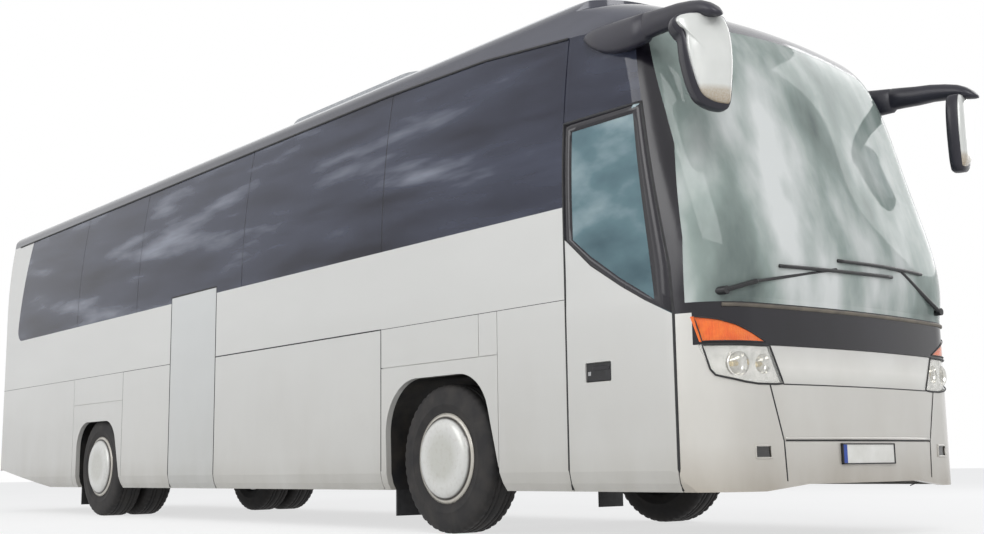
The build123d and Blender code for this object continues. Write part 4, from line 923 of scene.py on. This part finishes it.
FACE = [
    (0.196, 2.931), (0.173, 2.961), (0.076, 2.983), (-0.066, 2.977), (-0.103, 2.949), (-0.131, 2.863),
    (-0.140, 2.712), (-0.122, 2.516), (-0.109, 2.464), (-0.077, 2.461), (-0.023, 2.468), (0.042, 2.499),
    (0.071, 2.542), (0.100, 2.627), (0.133, 2.771), (0.140, 2.868), (0.172, 2.893), (0.189, 2.914),
]
HEAD = (1.335, -5.99)
TOE = {-1: radians(25), 1: radians(15)}


def lofted(rings):
    """A closed skin through rings that have the same number of points."""
    count = len(rings[0])
    verts, faces = [p for ring in rings for p in ring], []
    for i in range(len(rings) - 1):
        for k in range(count):
            n = (k + 1) % count
            faces.append((i * count + k, i * count + n, (i + 1) * count + n, (i + 1) * count + k))
    last = (len(rings) - 1) * count
    return verts, faces + [tuple(range(count)), tuple(range(last, last + count))]


def oval(sign, y, x, top, foot, half, around=20):
    """An upright oval ring with full shoulders, one station of a mirror arm."""
    ring = []
    for k in range(around):
        a = 2 * pi * k / around
        reach = abs(cos(a)) ** 0.7 * (1 if cos(a) >= 0 else -1)
        ring.append((sign * (x + half * reach), station(y), (top + foot) / 2 + (top - foot) / 2 * sin(a)))
    return ring


def smooth_loop(rows, cuts=3):
    """A closed outline rounded through its points."""
    count, made = len(rows), []
    for i in range(count):
        a, b, c, d = (rows[(i + k) % count] for k in (-1, 0, 1, 2))
        for step in range(cuts):
            t = step / cuts
            made.append(tuple(
                0.5 * (2 * q + (r - p) * t + (2 * p - 5 * q + 4 * r - s) * t * t + (3 * q - p - 3 * r + s) * t ** 3)
                for p, q, r, s in zip(a, b, c, d)
            ))
    return made


def on_head(sign, rows, scale, ahead):
    """An outline on the toed-out head, shrunk about its middle and moved forward."""
    mid = [sum(v) / len(rows) for v in zip(*rows)]
    along, out = cos(TOE[sign]), sin(TOE[sign])
    ring = []
    for u, z in rows:
        u, z = mid[0] + (u - mid[0]) * scale, mid[1] + (z - mid[1]) * scale
        ring.append((sign * (HEAD[0] + u * along + ahead * out), HEAD[1] + u * out - ahead * along, z))
    return ring


def shell_paint():
    """Silver-white paint with a brown film of grit on the foot of the shell."""
    mat, tree, shader, coords = finish("mirror_shell", 0.24, 0.1, 0.5)
    wide = ramp(tree, cloud(tree, coords, 0.3), (0.3, tone(206, 208, 204)), (0.72, tone(224, 225, 221)))
    foot = height_in(tree, coords, 2.46, 2.6)
    low = ramp(tree, foot, (0.0, grey(0.85)), (0.5, grey(0.6)), (0.75, grey(0)))
    grit = ramp(tree, cloud(tree, coords, 0.01, (1, 1, 1), 2), (0.35, grey(0.75)), (0.65, grey(1)))
    film = mix(tree, 1.0, low, grit, "MULTIPLY")
    tree.links.new(mix(tree, film, wide, tone(158, 134, 98)), shader.inputs["Base Color"])
    return mat


arm_plastic = gloss_black("mirror_arm_plastic", tone(26, 25, 35), tone(46, 45, 57), 0.3)
shell_coat = shell_paint()
silvered = two_tone("silvered_glass", tone(196, 204, 208), tone(222, 228, 230), 0.4, 0.03, metal=1.0)[0]
rim, face = smooth_loop(RIM), smooth_loop(FACE)
# Each shell is lofted through pairs of a scale and a distance ahead of the head's middle.
back_steps = ((0.86, -0.086), (0.95, -0.080), (0.99, -0.066), (1.0, -0.045), (1.0, -0.002), (0.992, 0.002))
dome_steps = ((0.99, -0.01), (1.0, 0.002), (0.985, 0.012), (0.94, 0.021), (0.84, 0.029), (0.66, 0.035),
              (0.4, 0.039), (0.12, 0.041))
glass_steps = ((0.82, -0.084), (0.82, -0.0885))
verts, faces = [], []
for sign, mark in ((-1, "right"), (1, "left")):
    add(verts, faces, lofted([oval(sign, *row) for row in ARM_RINGS]))
    add(verts, faces, lofted([on_head(sign, rim, *step) for step in back_steps]))
    shell, caps = lofted([on_head(sign, face, *step) for step in dome_steps])
    piece(f"mirror_shell_{mark}", shell, caps, shell_coat, "coach")
    glass, caps = lofted([on_head(sign, rim, *step) for step in glass_steps])
    piece(f"mirror_glass_{mark}", glass, caps, silvered, "coach", smooth=False)
arms = piece("mirror_arms", verts, faces, arm_plastic, "coach")
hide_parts("mirrors")


# Wipers: two black painted steel arms, which sweep from the foot of the windscreen.
# Each holds a rubber blade that is bent to the glass.
wiper_black = two_tone("wiper_black", tone(20, 20, 22), tone(36, 36, 38), 0.03, 0.4)[0]
dress(wiper_black, "wipers")
for mark, run in (
    ("right", [(-0.750, 0, 1.590), (-0.200, 0, 1.600), (0.350, 0, 1.612)]),
    ("left", [(-0.220, 0, 1.665), (0.260, 0, 1.672), (0.740, 0, 1.668)]),
):
    blade = [from_front(p.x, p.z) - Vector((0, 0.008, 0)) for p in filled(run, 0.06)]
    bead(f"wiper_blade_{mark}", blade, 0.011, wiper_black, "coach", flat=0.8)


# Seats: foam on a steel frame under woven blue-grey cloth, with a headrest pad at the top of each back.
# Pads are crowned and their sides pull in between the corners.
def pad(centre, half, tilt, bow=0.45, rings=10, around=20):
    """Vertices and faces of a crowned closed pad, tilted back about X."""
    def full(value):
        return (abs(value) ** bow) * (1 if value >= 0 else -1)

    verts, faces = [], []
    for j in range(rings + 1):
        v = -pi / 2 + pi * j / rings
        for i in range(around):
            u = 2 * pi * i / around
            x = half[0] * full(cos(v)) * full(cos(u))
            y = half[1] * full(cos(v)) * full(sin(u))
            z = half[2] * full(sin(v))
            y, z = y * cos(tilt) - z * sin(tilt), y * sin(tilt) + z * cos(tilt)
            verts.append((centre[0] + x, centre[1] + y, centre[2] + z))
    for j in range(rings):
        for i in range(around):
            n = (i + 1) % around
            faces.append((j * around + i, j * around + n, (j + 1) * around + n, (j + 1) * around + i))
    return verts, faces


cloth, tree, shader, coords = finish("seat_cloth", 0.85)
weave = tree.nodes.new("ShaderNodeTexChecker")
weave.inputs["Scale"].default_value = 260
tree.links.new(coords, weave.inputs["Vector"])
base = ramp(tree, cloud(tree, coords, 0.07), (0.35, tone(52, 62, 96)), (0.7, tone(84, 94, 124)))
threads = mix(tree, weave.outputs["Fac"], tone(40, 46, 70), tone(104, 110, 134))
tree.links.new(mix(tree, 0.25, base, threads), shader.inputs["Base Color"])
emboss(tree, shader, weave.outputs["Fac"], 0.3, 0.0008)
shader.inputs["Sheen Weight"].default_value = 0.3
# Rows stand on the deck either side of the aisle, but not in the entrance, with five seats across the tail.
DECK, PITCH_OF_ROWS = 1.45, 770
places = []
for row in range(12):
    start = 1700 + row * PITCH_OF_ROWS
    for side in (-1, 1):
        if side < 0 and 5310 < start < ENTRANCE_END:
            continue
        places += [(side * x, station(start), DECK, 1.0) for x in (0.512, 0.945)]
places += [(x, station(11000), DECK, 1.0) for x in (-0.9, -0.45, 0.0, 0.45, 0.9)]
driver = (0.63, station(960), 1.0, 0.8)
seat_verts, seat_faces, leg_verts, leg_faces = [], [], [], []
for x, y, z, scale in places + [driver]:
    add(seat_verts, seat_faces, pad((x, y + 0.25 * scale, z + 0.442), (0.205, 0.25 * scale, 0.058), 0.03))
    add(seat_verts, seat_faces, pad((x, y + 0.592 * scale, z + 0.79), (0.2, 0.056, 0.325), 0.245))
    add(seat_verts, seat_faces, pad((x, y + 0.665 * scale, z + 1.04), (0.15, 0.05, 0.085), 0.245))
    add(leg_verts, leg_faces, pad((x, y + 0.225 * scale, z + 0.195), (0.03, 0.06 * scale, 0.192), 0.0, 0.3, 6, 12))
seats = piece("seat_pads", seat_verts, seat_faces, cloth, "coach")
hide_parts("seats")
piece("seat_legs", leg_verts, leg_faces, black_chassis, "coach")


# Engine lid and roof unit: pressed slats across the openings let air through.
# One tree stacks the slats; the lid's move with the lid.
def stack_of(name, count, step, size, tilt, material):
    """A tree that repeats one flat slat along a step."""
    tree, new, link = new_tree(name, ("Count", "Int", count), ("Step", "Vector", step), ("Slat size", "Vector", size))
    given, end = new("NodeGroupInput"), new("NodeGroupOutput")
    row, one = new("GeometryNodeMeshLine"), new("GeometryNodeMeshCube")
    put, turn = new("GeometryNodeInstanceOnPoints"), new("FunctionNodeInputVector")
    real, coat = new("GeometryNodeRealizeInstances"), new("GeometryNodeSetMaterial")
    turn.vector = tilt
    coat.inputs["Material"].default_value = material
    link(given.outputs["Count"], row.inputs["Count"])
    link(given.outputs["Step"], row.inputs["Offset"])
    link(given.outputs["Slat size"], one.inputs["Size"])
    link(row.outputs[0], put.inputs["Points"])
    link(one.outputs["Mesh"], put.inputs["Instance"])
    link(turn.outputs[0], put.inputs["Rotation"])
    link(put.outputs[0], real.inputs[0])
    link(real.outputs[0], coat.inputs[0])
    link(coat.outputs[0], end.inputs[0])
    return tree


slats = stack_of("lid_slats", 8, (0, 0, 0.07), (1.12, 0.004, 0.04), (radians(35), 0, 0), black_chassis)
grown("engine_lid_slats", slats, (0, station(12062), 0.875), "engine_lid")
vents = stack_of("unit_slats", 14, (0.1, 0, 0), (0.05, 0.5, 0.006), (0, radians(20), 0), black_rubber)
unit_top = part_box("roof_ac_unit")[1].z
grown("roof_unit_vents", vents, (-0.65, station(5000), unit_top - 0.002), "coach")


# The pale yard floor. It takes the coach's shadow, and it is lifted to white
# for the camera and for reflections alone.
REACH = 60
floor = bpy.data.objects.new("floor", bpy.data.meshes.new("floor"))
edges = [(-REACH, -REACH, 0), (REACH, -REACH, 0), (REACH, REACH, 0), (-REACH, REACH, 0)]
floor.data.from_pydata(edges, [], [(0, 1, 2, 3)])
scene.collection.objects.link(floor)
ground, tree, shader, coords = two_tone("pale_floor", tone(236, 236, 235), tone(242, 242, 241), 3, 0.9)
white = tree.nodes.new("ShaderNodeEmission")
share = tree.nodes.new("ShaderNodeMath")
share.operation, share.inputs[1].default_value = "MULTIPLY", 0.68
blend = tree.nodes.new("ShaderNodeMixShader")
tree.links.new(shown(tree), share.inputs[0])
tree.links.new(share.outputs[0], blend.inputs[0])
tree.links.new(shader.outputs[0], blend.inputs[1])
tree.links.new(white.outputs[0], blend.inputs[2])
tree.links.new(blend.outputs[0], tree.nodes["Material Output"].inputs["Surface"])
floor.data.materials.append(ground)
